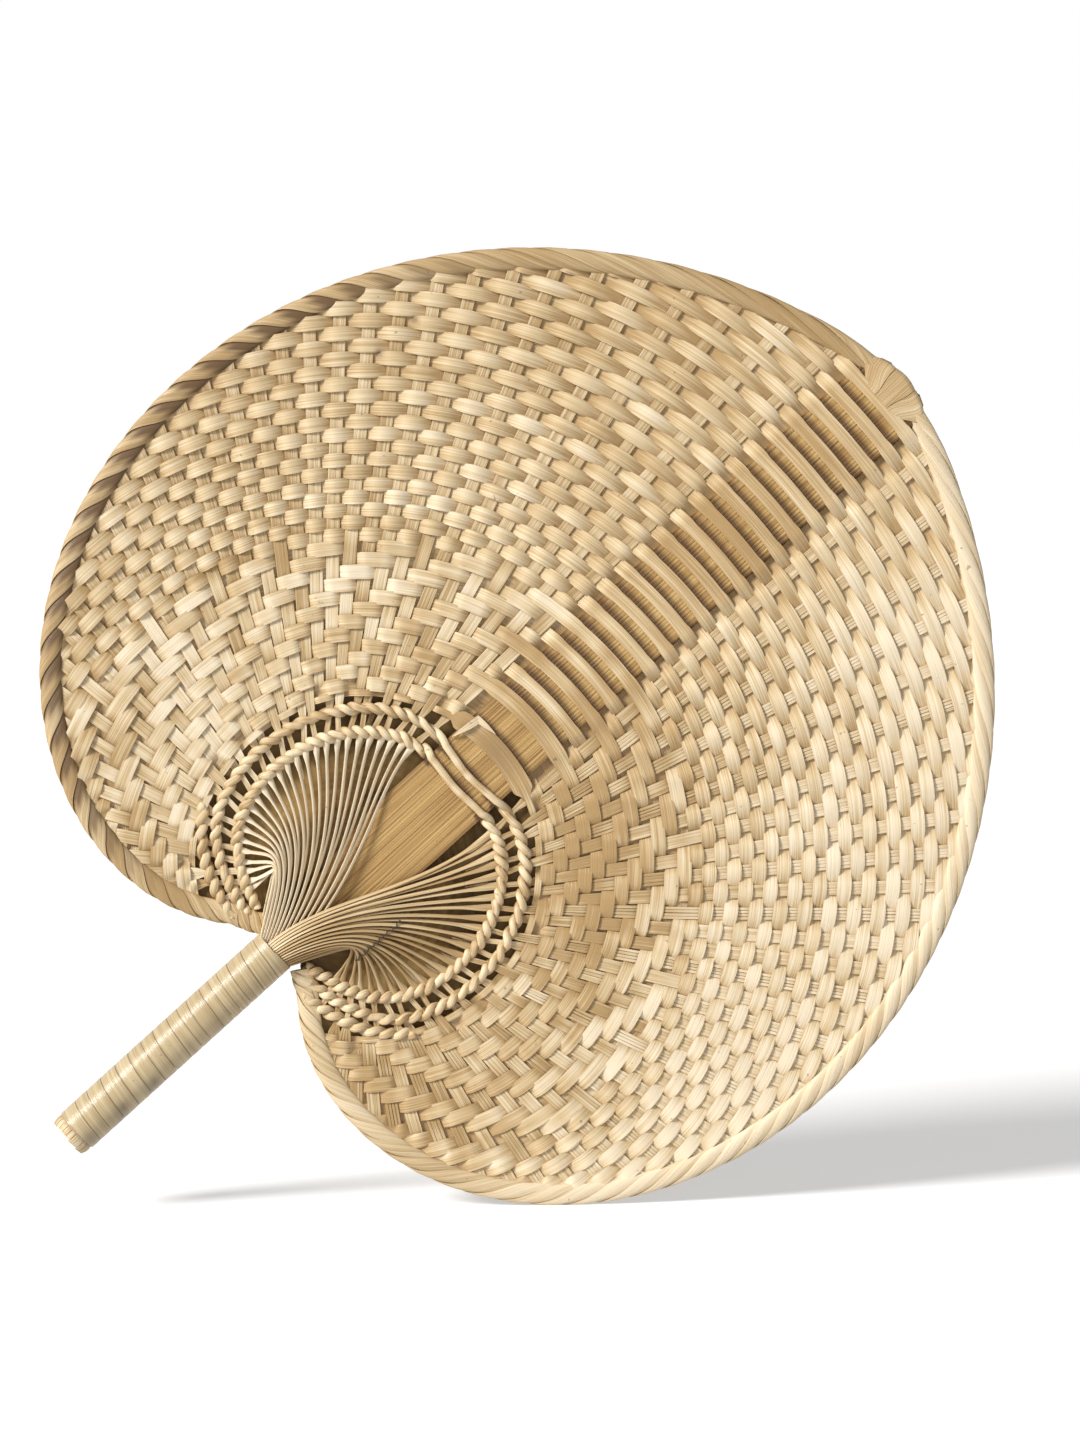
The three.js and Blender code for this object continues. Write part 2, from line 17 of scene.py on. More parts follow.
import bpy
import numpy as np
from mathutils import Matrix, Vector

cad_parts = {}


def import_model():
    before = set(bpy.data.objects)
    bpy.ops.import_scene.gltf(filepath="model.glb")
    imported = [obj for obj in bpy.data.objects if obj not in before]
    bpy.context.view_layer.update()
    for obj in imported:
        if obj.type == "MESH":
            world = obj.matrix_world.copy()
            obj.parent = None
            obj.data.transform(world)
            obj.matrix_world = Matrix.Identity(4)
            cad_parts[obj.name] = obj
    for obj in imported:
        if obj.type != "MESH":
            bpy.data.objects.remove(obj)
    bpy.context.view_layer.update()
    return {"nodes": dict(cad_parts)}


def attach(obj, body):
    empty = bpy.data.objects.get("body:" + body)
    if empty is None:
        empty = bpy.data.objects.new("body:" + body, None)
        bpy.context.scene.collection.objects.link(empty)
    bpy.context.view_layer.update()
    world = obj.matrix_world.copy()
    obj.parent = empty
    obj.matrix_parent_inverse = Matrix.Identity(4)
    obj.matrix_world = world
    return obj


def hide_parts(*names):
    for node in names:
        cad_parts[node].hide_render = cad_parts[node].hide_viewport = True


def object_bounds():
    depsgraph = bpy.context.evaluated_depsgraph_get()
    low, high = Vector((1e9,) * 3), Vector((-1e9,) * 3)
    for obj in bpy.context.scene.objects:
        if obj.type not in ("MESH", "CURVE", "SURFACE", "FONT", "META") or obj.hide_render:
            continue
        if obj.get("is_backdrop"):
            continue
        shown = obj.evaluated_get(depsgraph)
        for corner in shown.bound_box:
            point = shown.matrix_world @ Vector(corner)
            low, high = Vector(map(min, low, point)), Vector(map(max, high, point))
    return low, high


Array = np.ndarray
Colour = tuple[float, float, float]
Range = tuple[float, float]
Piece = bpy.types.Object
Node = bpy.types.Node
Socket = bpy.types.NodeSocket
Sockets = dict[str, Socket]
Feeds = dict[str | int, object]

MM = 0.001
TINY = 1e-9
PAST_END = 1e-4
FULL_TURN = 2.0 * math.pi
WAVE_STARTS = (0.0, 6.3)
TONES = (0.0, 1.0)
STARTS_ALONG = (0.0, 900.0)
STARTS_ACROSS = (0.0, 90.0)
BODY = "root"
CRISP_FROM_DEG = 70.0
ROUNDING_STEPS = 2
UV_NAME = "splint"
SPLINT_LINES = np.array([-1.0, -0.86, -0.45, 0.0, 0.45, 0.86, 1.0])
TO_FRONT = np.array([0.0, 0.0, 1.0])
WHITE = (1.0, 1.0, 1.0)

log = logging.getLogger("fan")


class Side(Enum):
    """The two lobes of the fan, with the sign of y on each."""

    LEFT = 1
    RIGHT = -1


class Sector(Enum):
    """The thirds of a lobe that its stakes are grouped in, with the first stake of each."""

    TIP = 0
    FLANK = 13
    HEEL = 26


class Ring(Enum):
    """The two rings of the eye: radius, dip at the stave and how far they draw in at the heel."""

    INNER = (46.5, 6.0, 6.5)
    OUTER = (54.6, 8.0, 10.5)

    @property
    def radius(self) -> float:
        """The ring's radius round most of the eye."""
        return self.value[0]

    @property
    def dip(self) -> float:
        """How much nearer the eye it crosses the stave."""
        return self.value[1]

    @property
    def draw_in(self) -> float:
        """How much nearer the eye its ends lie."""
        return self.value[2]


def mix(start: Array | float, end: Array | float, share: Array | float) -> Array | float:
    """Goes from start to end by a share."""
    return start + (end - start) * share


def ease(share: Array | float) -> Array:
    """A share from 0 to 1 that starts and ends level."""
    held = np.clip(share, 0.0, 1.0)
    return held * held * (3.0 - 2.0 * held)


def unit(vectors: Array) -> Array:
    """The same vectors at length 1."""
    return vectors / np.maximum(np.linalg.norm(vectors, axis=-1, keepdims=True), TINY)


def uneven(draw: np.random.Generator, shape: int | tuple[int, ...], limit: float = 2.0) -> Array:
    """Drawn amounts about 0, none past a limit."""
    return draw.standard_normal(shape).clip(-limit, limit)


def eased_between(at: Array, knots: Array, heights: Array) -> Array:
    """Heights that level out at each knot and ease from one to the next.

    Args:
        at: Places where heights are wanted.
        knots: Rising places of the known heights.
        heights: Height at each knot.

    Returns:
        One height for each place.
    """
    index = np.clip(np.searchsorted(knots, at, side="right") - 1, 0, len(knots) - 2)
    share = (at - knots[index]) / np.maximum(knots[index + 1] - knots[index], TINY)
    return mix(heights[index], heights[index + 1], ease(share))


def lift_to_3d(plane: Array, height: Array | float) -> Array:
    """Points of the fan's plane with a height off it."""
    z = np.broadcast_to(np.asarray(height, float), plane.shape[:-1])
    return np.concatenate([plane, z[..., None]], axis=-1)


def directions(line: Array) -> tuple[Array, Array]:
    """The directions along a line and, in the fan's plane, across it."""
    along = unit(np.gradient(line, axis=0))
    return along, unit(np.cross(TO_FRONT, along))


def round_line(line: Array, across: Array, up: Array, sides: int) -> Array:
    """Points round a line.

    Args:
        line: Its points.
        across: Half its width at each, as a vector.
        up: Half its depth at each, as a vector.
        sides: How many points stand round it.

    Returns:
        Points along it and round it.
    """
    turn = np.linspace(0.0, FULL_TURN, sides, endpoint=False)[None, :, None]
    return line[:, None, :] + np.cos(turn) * across[:, None, :] + np.sin(turn) * up[:, None, :]


def about_grip(x: Array, radius: Array, turn: Array) -> Array:
    """Points about the middle line of the grip, each at a radius and a turn from the front."""
    x, radius, turn = np.broadcast_arrays(x, radius, turn)
    return np.stack([x, radius * np.sin(turn), radius * np.cos(turn)], axis=-1)


@dataclass(frozen=True)
class FanPlan:
    """The plan that every piece follows, in the sizes of the solids."""

    lean_deg: float = 42.0
    grip_length: float = 94.0
    neck_to_eye: float = 44.0
    tip_reach: float = 251.0
    side_reach: float = 152.0
    heel_reach: float = 51.0
    side_deg: float = 90.0
    heel_deg: float = 160.0
    stave_half: float = 14.0
    stave_thickness: float = 2.4
    stave_end: float = 339.8
    stave_end_corner: float = 7.0
    stave_flare: float = 58.0
    tang_half: float = 4.0
    inner_ring: float = Ring.INNER.radius
    outer_ring: float = Ring.OUTER.radius
    ring_strand: float = 2.7
    heel_return: float = 0.87
    heel_turn_deg: float = 0.5
    ring_dip_deg: float = 22.0
    ring_close_deg: float = 112.0
    ring_end_deg: float = 164.0
    stakes: int = 39
    first_from_stave: float = 5.5
    last_ring_deg: float = 150.0
    last_rim_deg: float = 157.0
    crowding: float = 0.2
    crowding_at: float = 0.37
    rows: int = 44
    twill_rows: int = 13
    rim_band: float = 7.0
    rim_from_stave: float = 3.0
    rim_steps: int = 800
    clearance: float = 0.3

    @property
    def neck(self) -> float:
        """Where the grip ends and the blade starts."""
        return self.grip_length / 2.0

    @property
    def eye(self) -> float:
        """The middle of the eye, which rows and rings circle."""
        return self.neck + self.neck_to_eye

    @property
    def row_pitch(self) -> float:
        """From one woven row to the next."""
        return (self.tip_reach - self.rim_band - self.row_start) / self.rows

    @property
    def row_start(self) -> float:
        """The inner edge of the first row."""
        return self.outer_ring + self.ring_strand / 2.0 + self.clearance

    @property
    def ring_pitch(self) -> float:
        """From one stake to the next on the inner ring."""
        return float(self.ring_angle(1) - self.ring_angle(0)) * self.inner_ring

    def row_reach(self, row: Array | float) -> Array | float:
        """How far a row's middle lies from the eye."""
        return self.row_start + self.row_pitch * (row + 0.5)

    def to_shared_frame(self, points: Array) -> Array:
        """Turns millimetres in the fan's plane into metres in the shared frame.

        Args:
            points: Points with x up the stave, y to the left and z to the front.

        Returns:
            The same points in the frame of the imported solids.
        """
        lean = math.radians(self.lean_deg)
        x = points[..., 0] * math.cos(lean) - points[..., 1] * math.sin(lean)
        z = points[..., 0] * math.sin(lean) + points[..., 1] * math.cos(lean)
        return np.stack([x, -points[..., 2], z], axis=-1) * MM

    def polar(self, reach: Array, angle: Array, sign: float = 1.0) -> Array:
        """A point of the plane at a reach and an angle about the eye, on one side."""
        return np.stack([self.eye + reach * np.cos(angle), sign * reach * np.sin(angle)], axis=-1)

    def from_eye(self, points: Array) -> Array:
        """How far points lie from the eye in the fan's plane."""
        return np.hypot(points[..., 0] - self.eye, points[..., 1])

    def rim_reach(self, angle: Array) -> Array:
        """How far the rim lies from the eye: a curve through tip, side and heel, turned out past the heel.

        Args:
            angle: Angles off the stave.

        Returns:
            The reach at each angle.
        """
        deg = np.degrees(angle)
        side, heel = self.side_deg, self.heel_deg
        at_tip = (deg - side) * (deg - heel) / (side * heel)
        at_side = deg * (deg - heel) / (side * (side - heel))
        at_heel = deg * (deg - side) / (heel * (heel - side))
        reach = self.tip_reach * at_tip + self.side_reach * at_side + self.heel_reach * at_heel
        return reach + self.heel_return * np.maximum(0.0, deg - heel - self.heel_turn_deg)

    def rim_point(self, angle: Array, inset: Array | float, sign: float) -> Array:
        """Points set in from the rim, square to it.

        Args:
            angle: Angles off the stave.
            inset: How far in they lie.
            sign: The sign of y on the lobe.

        Returns:
            Points of the plane.
        """
        step = 0.001
        here = self.polar(self.rim_reach(angle), angle)
        along = unit(self.polar(self.rim_reach(angle + step), angle + step) - here)
        x = here[..., 0] - along[..., 1] * inset
        y = here[..., 1] + along[..., 0] * inset
        return np.stack([x, sign * y], axis=-1)

    def rim_angle_after(self, count: Array) -> Array:
        """The rim angle after a count of stakes, which crowd towards the flank.

        Args:
            count: Counts of stakes from the stave.

        Returns:
            The angle off the stave for each.
        """
        share = np.asarray(count, float) / self.stakes
        wave = np.sin(FULL_TURN * (share - self.crowding_at)) + math.sin(FULL_TURN * self.crowding_at)
        start = math.asin((self.stave_half + self.rim_from_stave) / self.tip_reach)
        return mix(start, math.radians(self.last_rim_deg), share - self.crowding * (wave / FULL_TURN))

    def ring_angle(self, stake: Array) -> Array:
        """The angle at which a stake leaves the inner ring."""
        first = math.asin((self.stave_half + self.first_from_stave) / self.inner_ring)
        return mix(first, math.radians(self.last_ring_deg), np.asarray(stake, float) / (self.stakes - 1))

    def ring_reach(self, ring: Ring, angle: Array) -> Array:
        """A ring's reach, which dips to cross the stave straight and draws in towards the heel.

        Args:
            ring: The ring.
            angle: Angles off the stave.

        Returns:
            The reach at each angle.
        """
        deg = np.degrees(np.abs(angle))
        dip = ring.dip * np.exp(-((deg / self.ring_dip_deg) ** 2))
        closing = ring.draw_in * ease((deg - self.ring_close_deg) / (self.ring_end_deg - self.ring_close_deg))
        return ring.radius - dip - closing

    def stake_ends(self) -> tuple[Array, Array]:
        """The ends of the left lobe's stakes.

        Returns:
            Where they start on the ring, and where they end under the rim.
        """
        order = np.arange(self.stakes)
        ring = self.polar(np.full(self.stakes, self.inner_ring), self.ring_angle(order))
        rim = self.rim_point(self.rim_angle_after(order + 0.5), self.rim_band / 2.0, 1.0)
        return ring, rim

    def crossing(self, reach: Array) -> tuple[Array, Array]:
        """Where the stakes meet circles about the eye.

        Args:
            reach: Reaches of the circles.

        Returns:
            For each stake and circle, the share along the stake and the angle, nan past its end.
        """
        ring, rim = self.stake_ends()
        start = (ring - np.array([self.eye, 0.0]))[:, None, :]
        along = (rim - ring)[:, None, :]
        a = (along**2).sum(-1)
        b = 2.0 * (start * along).sum(-1)
        c = (start**2).sum(-1) - np.asarray(reach, float)[None, :] ** 2
        share = (-b + np.sqrt(np.maximum(b * b - 4.0 * a * c, 0.0))) / (2.0 * a)
        share = np.where(share > 1.0, np.nan, share)
        at = start + along * share[..., None]
        return share, np.arctan2(at[..., 1], at[..., 0])

    def run_out(self, reach: float, inset: float) -> float:
        """Where a circle about the eye comes to a line inside the rim.

        Args:
            reach: The circle's reach.
            inset: How far inside the rim the line lies.

        Returns:
            The angle off the stave.
        """
        angles = np.linspace(0.0, math.radians(self.heel_deg), self.rim_steps)
        line = self.rim_point(angles, inset, 1.0)
        turned = np.arctan2(line[:, 1], line[:, 0] - self.eye)
        return float(np.interp(reach, self.from_eye(line)[::-1], turned[::-1]))


PLAN = FanPlan()


@dataclass(frozen=True)
class Fade:
    """A soft round patch, paler or browner than the rest, at a reach and an angle about the eye."""

    reach: float
    angle_deg: float
    radius: float
    amount: float

    def at(self, points: Array) -> Array:
        """How much the patch changes the tone.

        Args:
            points: Points of the piece.

        Returns:
            The change at each.
        """
        centre = PLAN.polar(np.array(self.reach), np.radians(self.angle_deg))
        away = np.linalg.norm(points[..., :2] - centre, axis=-1)
        return self.amount * np.exp(-((away / self.radius) ** 2))


def faded(fades: tuple[Fade, ...], points: Array) -> Array:
    """The change of tone that several patches make together."""
    return np.sum([fade.at(points) for fade in fades], axis=0)


# Soft patches of tone over the blade; the last darkens the second row's float beside the stave, which faces
# the light: painted shade.
BLADE_FADES = (
    Fade(75.0, 95.0, 45.0, 1.0),
    Fade(78.0, -38.0, 36.0, -1.5),
    Fade(76.0, -138.0, 26.0, -1.2),
    Fade(130.0, 28.0, 40.0, 0.8),
    Fade(80.0, -63.0, 22.0, -0.9),
    Fade(62.7, 20.0, 6.0, -1.2),
)
# The lining's first patch is painted shadow under the top of the inner ring; the second is a paler patch.
LINING_FADES = (Fade(45.0, 45.0, 16.0, -1.3), Fade(38.0, 100.0, 15.0, 1.1))
KNOT_SPOTS = (Fade(175.8, 46.5, 1.3, 1.0), Fade(187.7, 42.9, 1.3, 1.0), Fade(59.6, 0.0, 9.0, 0.36))
HANDLE_STAINS = (
    Fade(102.6, -177.2, 1.9, 1.0),
    Fade(106.0, -176.6, 2.8, 0.65),
    Fade(116.4, -178.0, 1.9, 0.95),
    Fade(119.6, -176.8, 3.6, 0.65),
    Fade(132.5, -177.6, 3.4, 0.75),
)
TWILL_PATCH = 6.5


def mottled(points: Array, draw: np.random.Generator, amount: float) -> Array:
    """Uneven tone along a splint of the twill near the eye, in patches about a float long.

    Args:
        points: Its middle line.
        draw: The source of the patches.
        amount: The most that they change the tone.

    Returns:
        The change at each point.
    """
    steps = np.linalg.norm(np.diff(points, axis=0), axis=-1)
    place = np.concatenate([[0.0], np.cumsum(steps)])
    spots = np.arange(0.0, place[-1] + TWILL_PATCH, TWILL_PATCH)
    patches = np.interp(place, spots, draw.uniform(-1.0, 1.0, len(spots)))
    past_twill = PLAN.from_eye(points) - PLAN.row_reach(PLAN.twill_rows)
    return amount * patches * (1.0 - ease(past_twill / TWILL_PATCH))


class NodeBook:
    """Adds and links the nodes of one tree."""

    def __init__(self, tree: bpy.types.NodeTree) -> None:
        """Keeps the tree and clears it."""
        self.tree = tree
        tree.nodes.clear()

    def add(self, kind: str, feeds: Feeds | None = None, **settings: object) -> Node:
        """Adds a node.

        Args:
            kind: Blender's name of the node's kind.
            feeds: What each input gets, by its name or place.
            settings: The node's own settings.

        Returns:
            The node.
        """
        node = self.tree.nodes.new(kind)
        for name, value in settings.items():
            setattr(node, name, value)
        for name, value in (feeds or {}).items():
            self.feed(node.inputs[name], value)
        return node

    def feed(self, socket: Socket, value: object) -> None:
        """Fills an input.

        Args:
            socket: The input.
            value: A number, a vector, a colour or the socket that it is linked to.
        """
        if isinstance(value, bpy.types.NodeSocket):
            self.tree.links.new(value, socket)
        elif socket.type == "RGBA":
            socket.default_value = (*value, 1.0)
        else:
            socket.default_value = value

    def group(self, tree: bpy.types.NodeTree, feeds: Feeds | None = None) -> Sockets:
        """Adds a shared group and gives its outputs by name."""
        return dict(self.add("ShaderNodeGroup", feeds, node_tree=tree).outputs.items())

    def maths(self, operation: str, first: object, second: object, clamp: bool = False) -> Socket:
        """A sum on two values.

        Args:
            operation: Blender's name of the operation.
            first: A number or a socket.
            second: A number or a socket.
            clamp: Whether the result is held from 0 to 1.

        Returns:
            The socket with the result.
        """
        node = self.add("ShaderNodeMath", {0: first, 1: second}, operation=operation, use_clamp=clamp)
        return node.outputs[0]

    def weighted(self, base: float, terms: list[tuple[Socket, float]]) -> Socket:
        """A base with some shares added, each counted from its middle of a half.

        Args:
            base: Where it starts.
            terms: Each share with its weight.

        Returns:
            The socket with the sum.
        """
        total: object = base
        for source, weight in terms:
            centred = self.maths("SUBTRACT", source, 0.5)
            total = self.maths("ADD", total, self.maths("MULTIPLY", centred, weight))
        return total

    def noise(self, vector: Socket, scale: object, detail: float) -> Socket:
        """A noise value from 0 to 1 on a vector."""
        feeds = {"Vector": vector, "Scale": scale, "Detail": detail}
        return self.add("ShaderNodeTexNoise", feeds).outputs["Fac"]

    def stretch(self, value: object, low: float, high: float) -> Socket:
        """A value eased from 0 at low to 1 at high."""
        feeds = {"Value": value, "From Min": low, "From Max": high}
        return self.add("ShaderNodeMapRange", feeds, interpolation_type="SMOOTHSTEP").outputs["Result"]

    def between(self, share: object, first: object, second: object) -> Socket:
        """A colour between two, by a share."""
        feeds = {0: share, 6: first, 7: second}
        return self.add("ShaderNodeMix", feeds, data_type="RGBA").outputs[2]

    def ramp(self, share: object, stops: list[tuple[float, Colour]]) -> Socket:
        """A colour from a ramp.

        Args:
            share: Where on the ramp.
            stops: Places from 0 to 1 with their colours.

        Returns:
            The socket with the colour.
        """
        node = self.add("ShaderNodeValToRGB", {0: share})
        elements = node.color_ramp.elements
        while len(elements) < len(stops):
            elements.new(0.5)
        for element, (place, colour) in zip(elements, stops):
            element.position = place
            element.color = (*colour, 1.0)
        return node.outputs["Color"]


@dataclass
class EffectGroups:
    """Shader groups that several finishes share."""

    streaks: tuple[tuple[str, float, float, float], ...] = (
        ("Streak", 1.0, 1.0, 4.0),
        ("Coarse", 0.5, 0.22, 2.0),
    )
    streak_range: Range = (0.28, 0.72)
    # The blade grows paler towards the lower right along the first of these, over the range of the second.
    pale_way: tuple[float, float, float] = (1.0, 0.0, -0.5)
    pale_range: Range = (0.115, 0.19)
    patch_scale: float = 26.0
    patch_detail: float = 3.0
    patch_range: Range = (0.3, 0.7)
    speck_scale: float = 420.0
    speck_detail: float = 1.0
    speck_range: Range = (0.75, 0.82)
    # tucked and proud are the heights, times the facing, between which the painted relief shade goes from
    # full to none.
    tucked: float = -0.0003
    proud: float = 0.0009

    def __post_init__(self) -> None:
        """Builds each group once."""
        self.grain = self._group("fibre_grain", {"Along": 0.03, "Across": 2.2}, self._grain)
        self.age = self._group("age_and_pale_side", {"Speck Size": self.speck_scale}, self._age)
        self.strip = self._group("strip_edge", {"Edge Start": 0.84, "Edge Width": 0.16}, self._strip)
        self.tuck = self._group("tucked_shade", {"Tucked": self.tucked, "Proud": self.proud}, self._tuck)

    @staticmethod
    def _group(
        name: str, inputs: dict[str, float], make: Callable[[NodeBook, Sockets], Sockets]
    ) -> bpy.types.NodeTree:
        """Makes one group.

        Args:
            name: The group's name.
            inputs: Names and usual values of its inputs.
            make: Adds its nodes and gives what each output shows.

        Returns:
            The group.
        """
        tree = bpy.data.node_groups.new(name, "ShaderNodeTree")
        for label, usual in inputs.items():
            socket = tree.interface.new_socket(label, in_out="INPUT", socket_type="NodeSocketFloat")
            socket.default_value = usual
        book = NodeBook(tree)
        results = make(book, book.add("NodeGroupInput").outputs)
        for label in results:
            tree.interface.new_socket(label, in_out="OUTPUT", socket_type="NodeSocketFloat")
        book.add("NodeGroupOutput", results)
        return tree

    def _grain(self, book: NodeBook, given: Sockets) -> Sockets:
        """Fibre streaks, fine and coarse, that follow a splint's own length.

        Args:
            book: The group's nodes.
            given: The group's inputs.

        Returns:
            What each output shows.
        """
        uv = book.add("ShaderNodeUVMap", uv_map=UV_NAME).outputs[0]
        shown = {}
        for name, along, across, detail in self.streaks:
            lengthwise = book.maths("MULTIPLY", given["Along"], along)
            crosswise = book.maths("MULTIPLY", given["Across"], across)
            scale = book.add("ShaderNodeCombineXYZ", {0: lengthwise, 1: crosswise}).outputs[0]
            drawn = book.add("ShaderNodeVectorMath", {0: uv, 1: scale}, operation="MULTIPLY").outputs[0]
            shown[name] = book.stretch(book.noise(drawn, 1.0, detail), *self.streak_range)
        return shown

    def _age(self, book: NodeBook, given: Sockets) -> Sockets:
        """Paler towards the lower right of the blade, soft patches and a few dark specks.

        Args:
            book: The group's nodes.
            given: The group's inputs.

        Returns:
            What each output shows.
        """
        place = book.add("ShaderNodeTexCoord").outputs["Object"]
        toward = book.add("ShaderNodeVectorMath", {0: place, 1: self.pale_way}, operation="DOT_PRODUCT")
        patch = book.noise(place, self.patch_scale, self.patch_detail)
        specks = book.noise(place, given["Speck Size"], self.speck_detail)
        return {
            "Bleach": book.stretch(toward.outputs["Value"], *self.pale_range),
            "Patch": book.stretch(patch, *self.patch_range),
            "Specks": book.stretch(specks, *self.speck_range),
        }

    def _strip(self, book: NodeBook, given: Sockets) -> Sockets:
        """A splint's own tone, its darker cut edges, and its stains and the painted shadows where it lies
        under its neighbour and beside raised strips.

        Args:
            book: The group's nodes.
            given: The group's inputs.

        Returns:
            What each output shows.
        """
        names = ("tone", "edge", "deep")
        read = [book.add("ShaderNodeAttribute", attribute_name=name).outputs["Fac"] for name in names]
        tone, edge, deep = read
        past = book.maths("SUBTRACT", edge, given["Edge Start"])
        cut = book.maths("DIVIDE", past, given["Edge Width"], clamp=True)
        return {"Tone": tone, "Edge": cut, "Deep": deep}

    def _tuck(self, book: NodeBook, given: Sockets) -> Sockets:
        """Painted shade in the weave's hollows: 1 where a surface stands out from the blade's plane towards
        the way it faces, 0 where tucked in.

        Args:
            book: The group's nodes.
            given: The group's inputs.

        Returns:
            What each output shows.
        """
        sources = (
            book.add("ShaderNodeTexCoord").outputs["Object"],
            book.add("ShaderNodeNewGeometry").outputs["Normal"],
        )
        out, facing = (book.add("ShaderNodeSeparateXYZ", {0: source}).outputs["Y"] for source in sources)
        above = book.maths("SUBTRACT", book.maths("MULTIPLY", out, facing), given["Tucked"])
        span = book.maths("SUBTRACT", given["Proud"], given["Tucked"])
        return {"Exposed": book.maths("DIVIDE", above, span, clamp=True)}


@dataclass(frozen=True)
class SplintFinish:
    """A split, dried leaf or cane strip: streaks, its own tone, paler towards the lower right, specks and
    dark cut edges.
    """

    name: str
    slot: str
    dark: Colour
    middle: Colour
    light: Colour
    cut: Colour
    base: float = 0.5
    streak: float = 0.55
    coarse: float = 0.35
    tone: float = 0.5
    bleach: float = 0.22
    patch: float = 0.2
    # How much painted shade darkens the parts of a splint that dive into the weave.
    exposed: float = 0.0
    edge: float = 0.35
    edge_start: float = 0.84
    edge_width: float = 0.16
    along: float = 0.03
    across: float = 2.2
    rough: float = 0.52
    rough_spread: float = 0.2
    specular: float = 0.35
    grain_strength: float = 0.6
    grain_height: float = 0.00012
    speck: Colour = (0.12, 0.06, 0.02)
    speck_share: float = 0.5
    # deep and stain_and_shadow_share darken stains, knots and one greyer strip, and paint shadow where a
    # splint lies under its neighbour and beside raised strips.
    deep: Colour = (0.105, 0.052, 0.018)
    stain_and_shadow_share: float = 0.0

    def material(self, groups: EffectGroups) -> bpy.types.Material:
        """Builds the material.

        Args:
            groups: The shared shader groups.

        Returns:
            The finished material.
        """
        made = bpy.data.materials.new(self.name)
        made.use_nodes = True
        book = NodeBook(made.node_tree)
        grain = book.group(groups.grain, {"Along": self.along, "Across": self.across})
        age = book.group(groups.age)
        strip = book.group(groups.strip, {"Edge Start": self.edge_start, "Edge Width": self.edge_width})
        terms = [
            (grain["Streak"], self.streak),
            (grain["Coarse"], self.coarse),
            (strip["Tone"], self.tone),
            (age["Bleach"], self.bleach),
            (age["Patch"], self.patch),
        ]
        # Painted shade: darker where the splint lies tucked into the weave.
        if self.exposed:
            terms.append((book.group(groups.tuck)["Exposed"], self.exposed))
        share = book.weighted(self.base, terms)
        colour = book.ramp(share, [(0.0, self.dark), (0.5, self.middle), (1.0, self.light)])
        colour = book.between(book.maths("MULTIPLY", strip["Edge"], self.edge), colour, self.cut)
        # Stains, knots and painted shadow, mixed in by the deep attribute.
        if self.stain_and_shadow_share:
            deep = book.maths("MULTIPLY", strip["Deep"], self.stain_and_shadow_share, clamp=True)
            colour = book.between(deep, colour, self.deep)
        specks = book.maths("MULTIPLY", age["Specks"], self.speck_share)
        fibres = {"Strength": self.grain_strength, "Distance": self.grain_height, "Height": grain["Streak"]}
        look = {
            "Base Color": book.between(specks, colour, self.speck),
            "Roughness": book.weighted(self.rough, [(grain["Streak"], -self.rough_spread)]),
            "Specular IOR Level": self.specular,
            "Normal": book.add("ShaderNodeBump", fibres).outputs[0],
        }
        shader = book.add("ShaderNodeBsdfPrincipled", look)
        book.add("ShaderNodeOutputMaterial", {0: shader.outputs[0]})
        return made


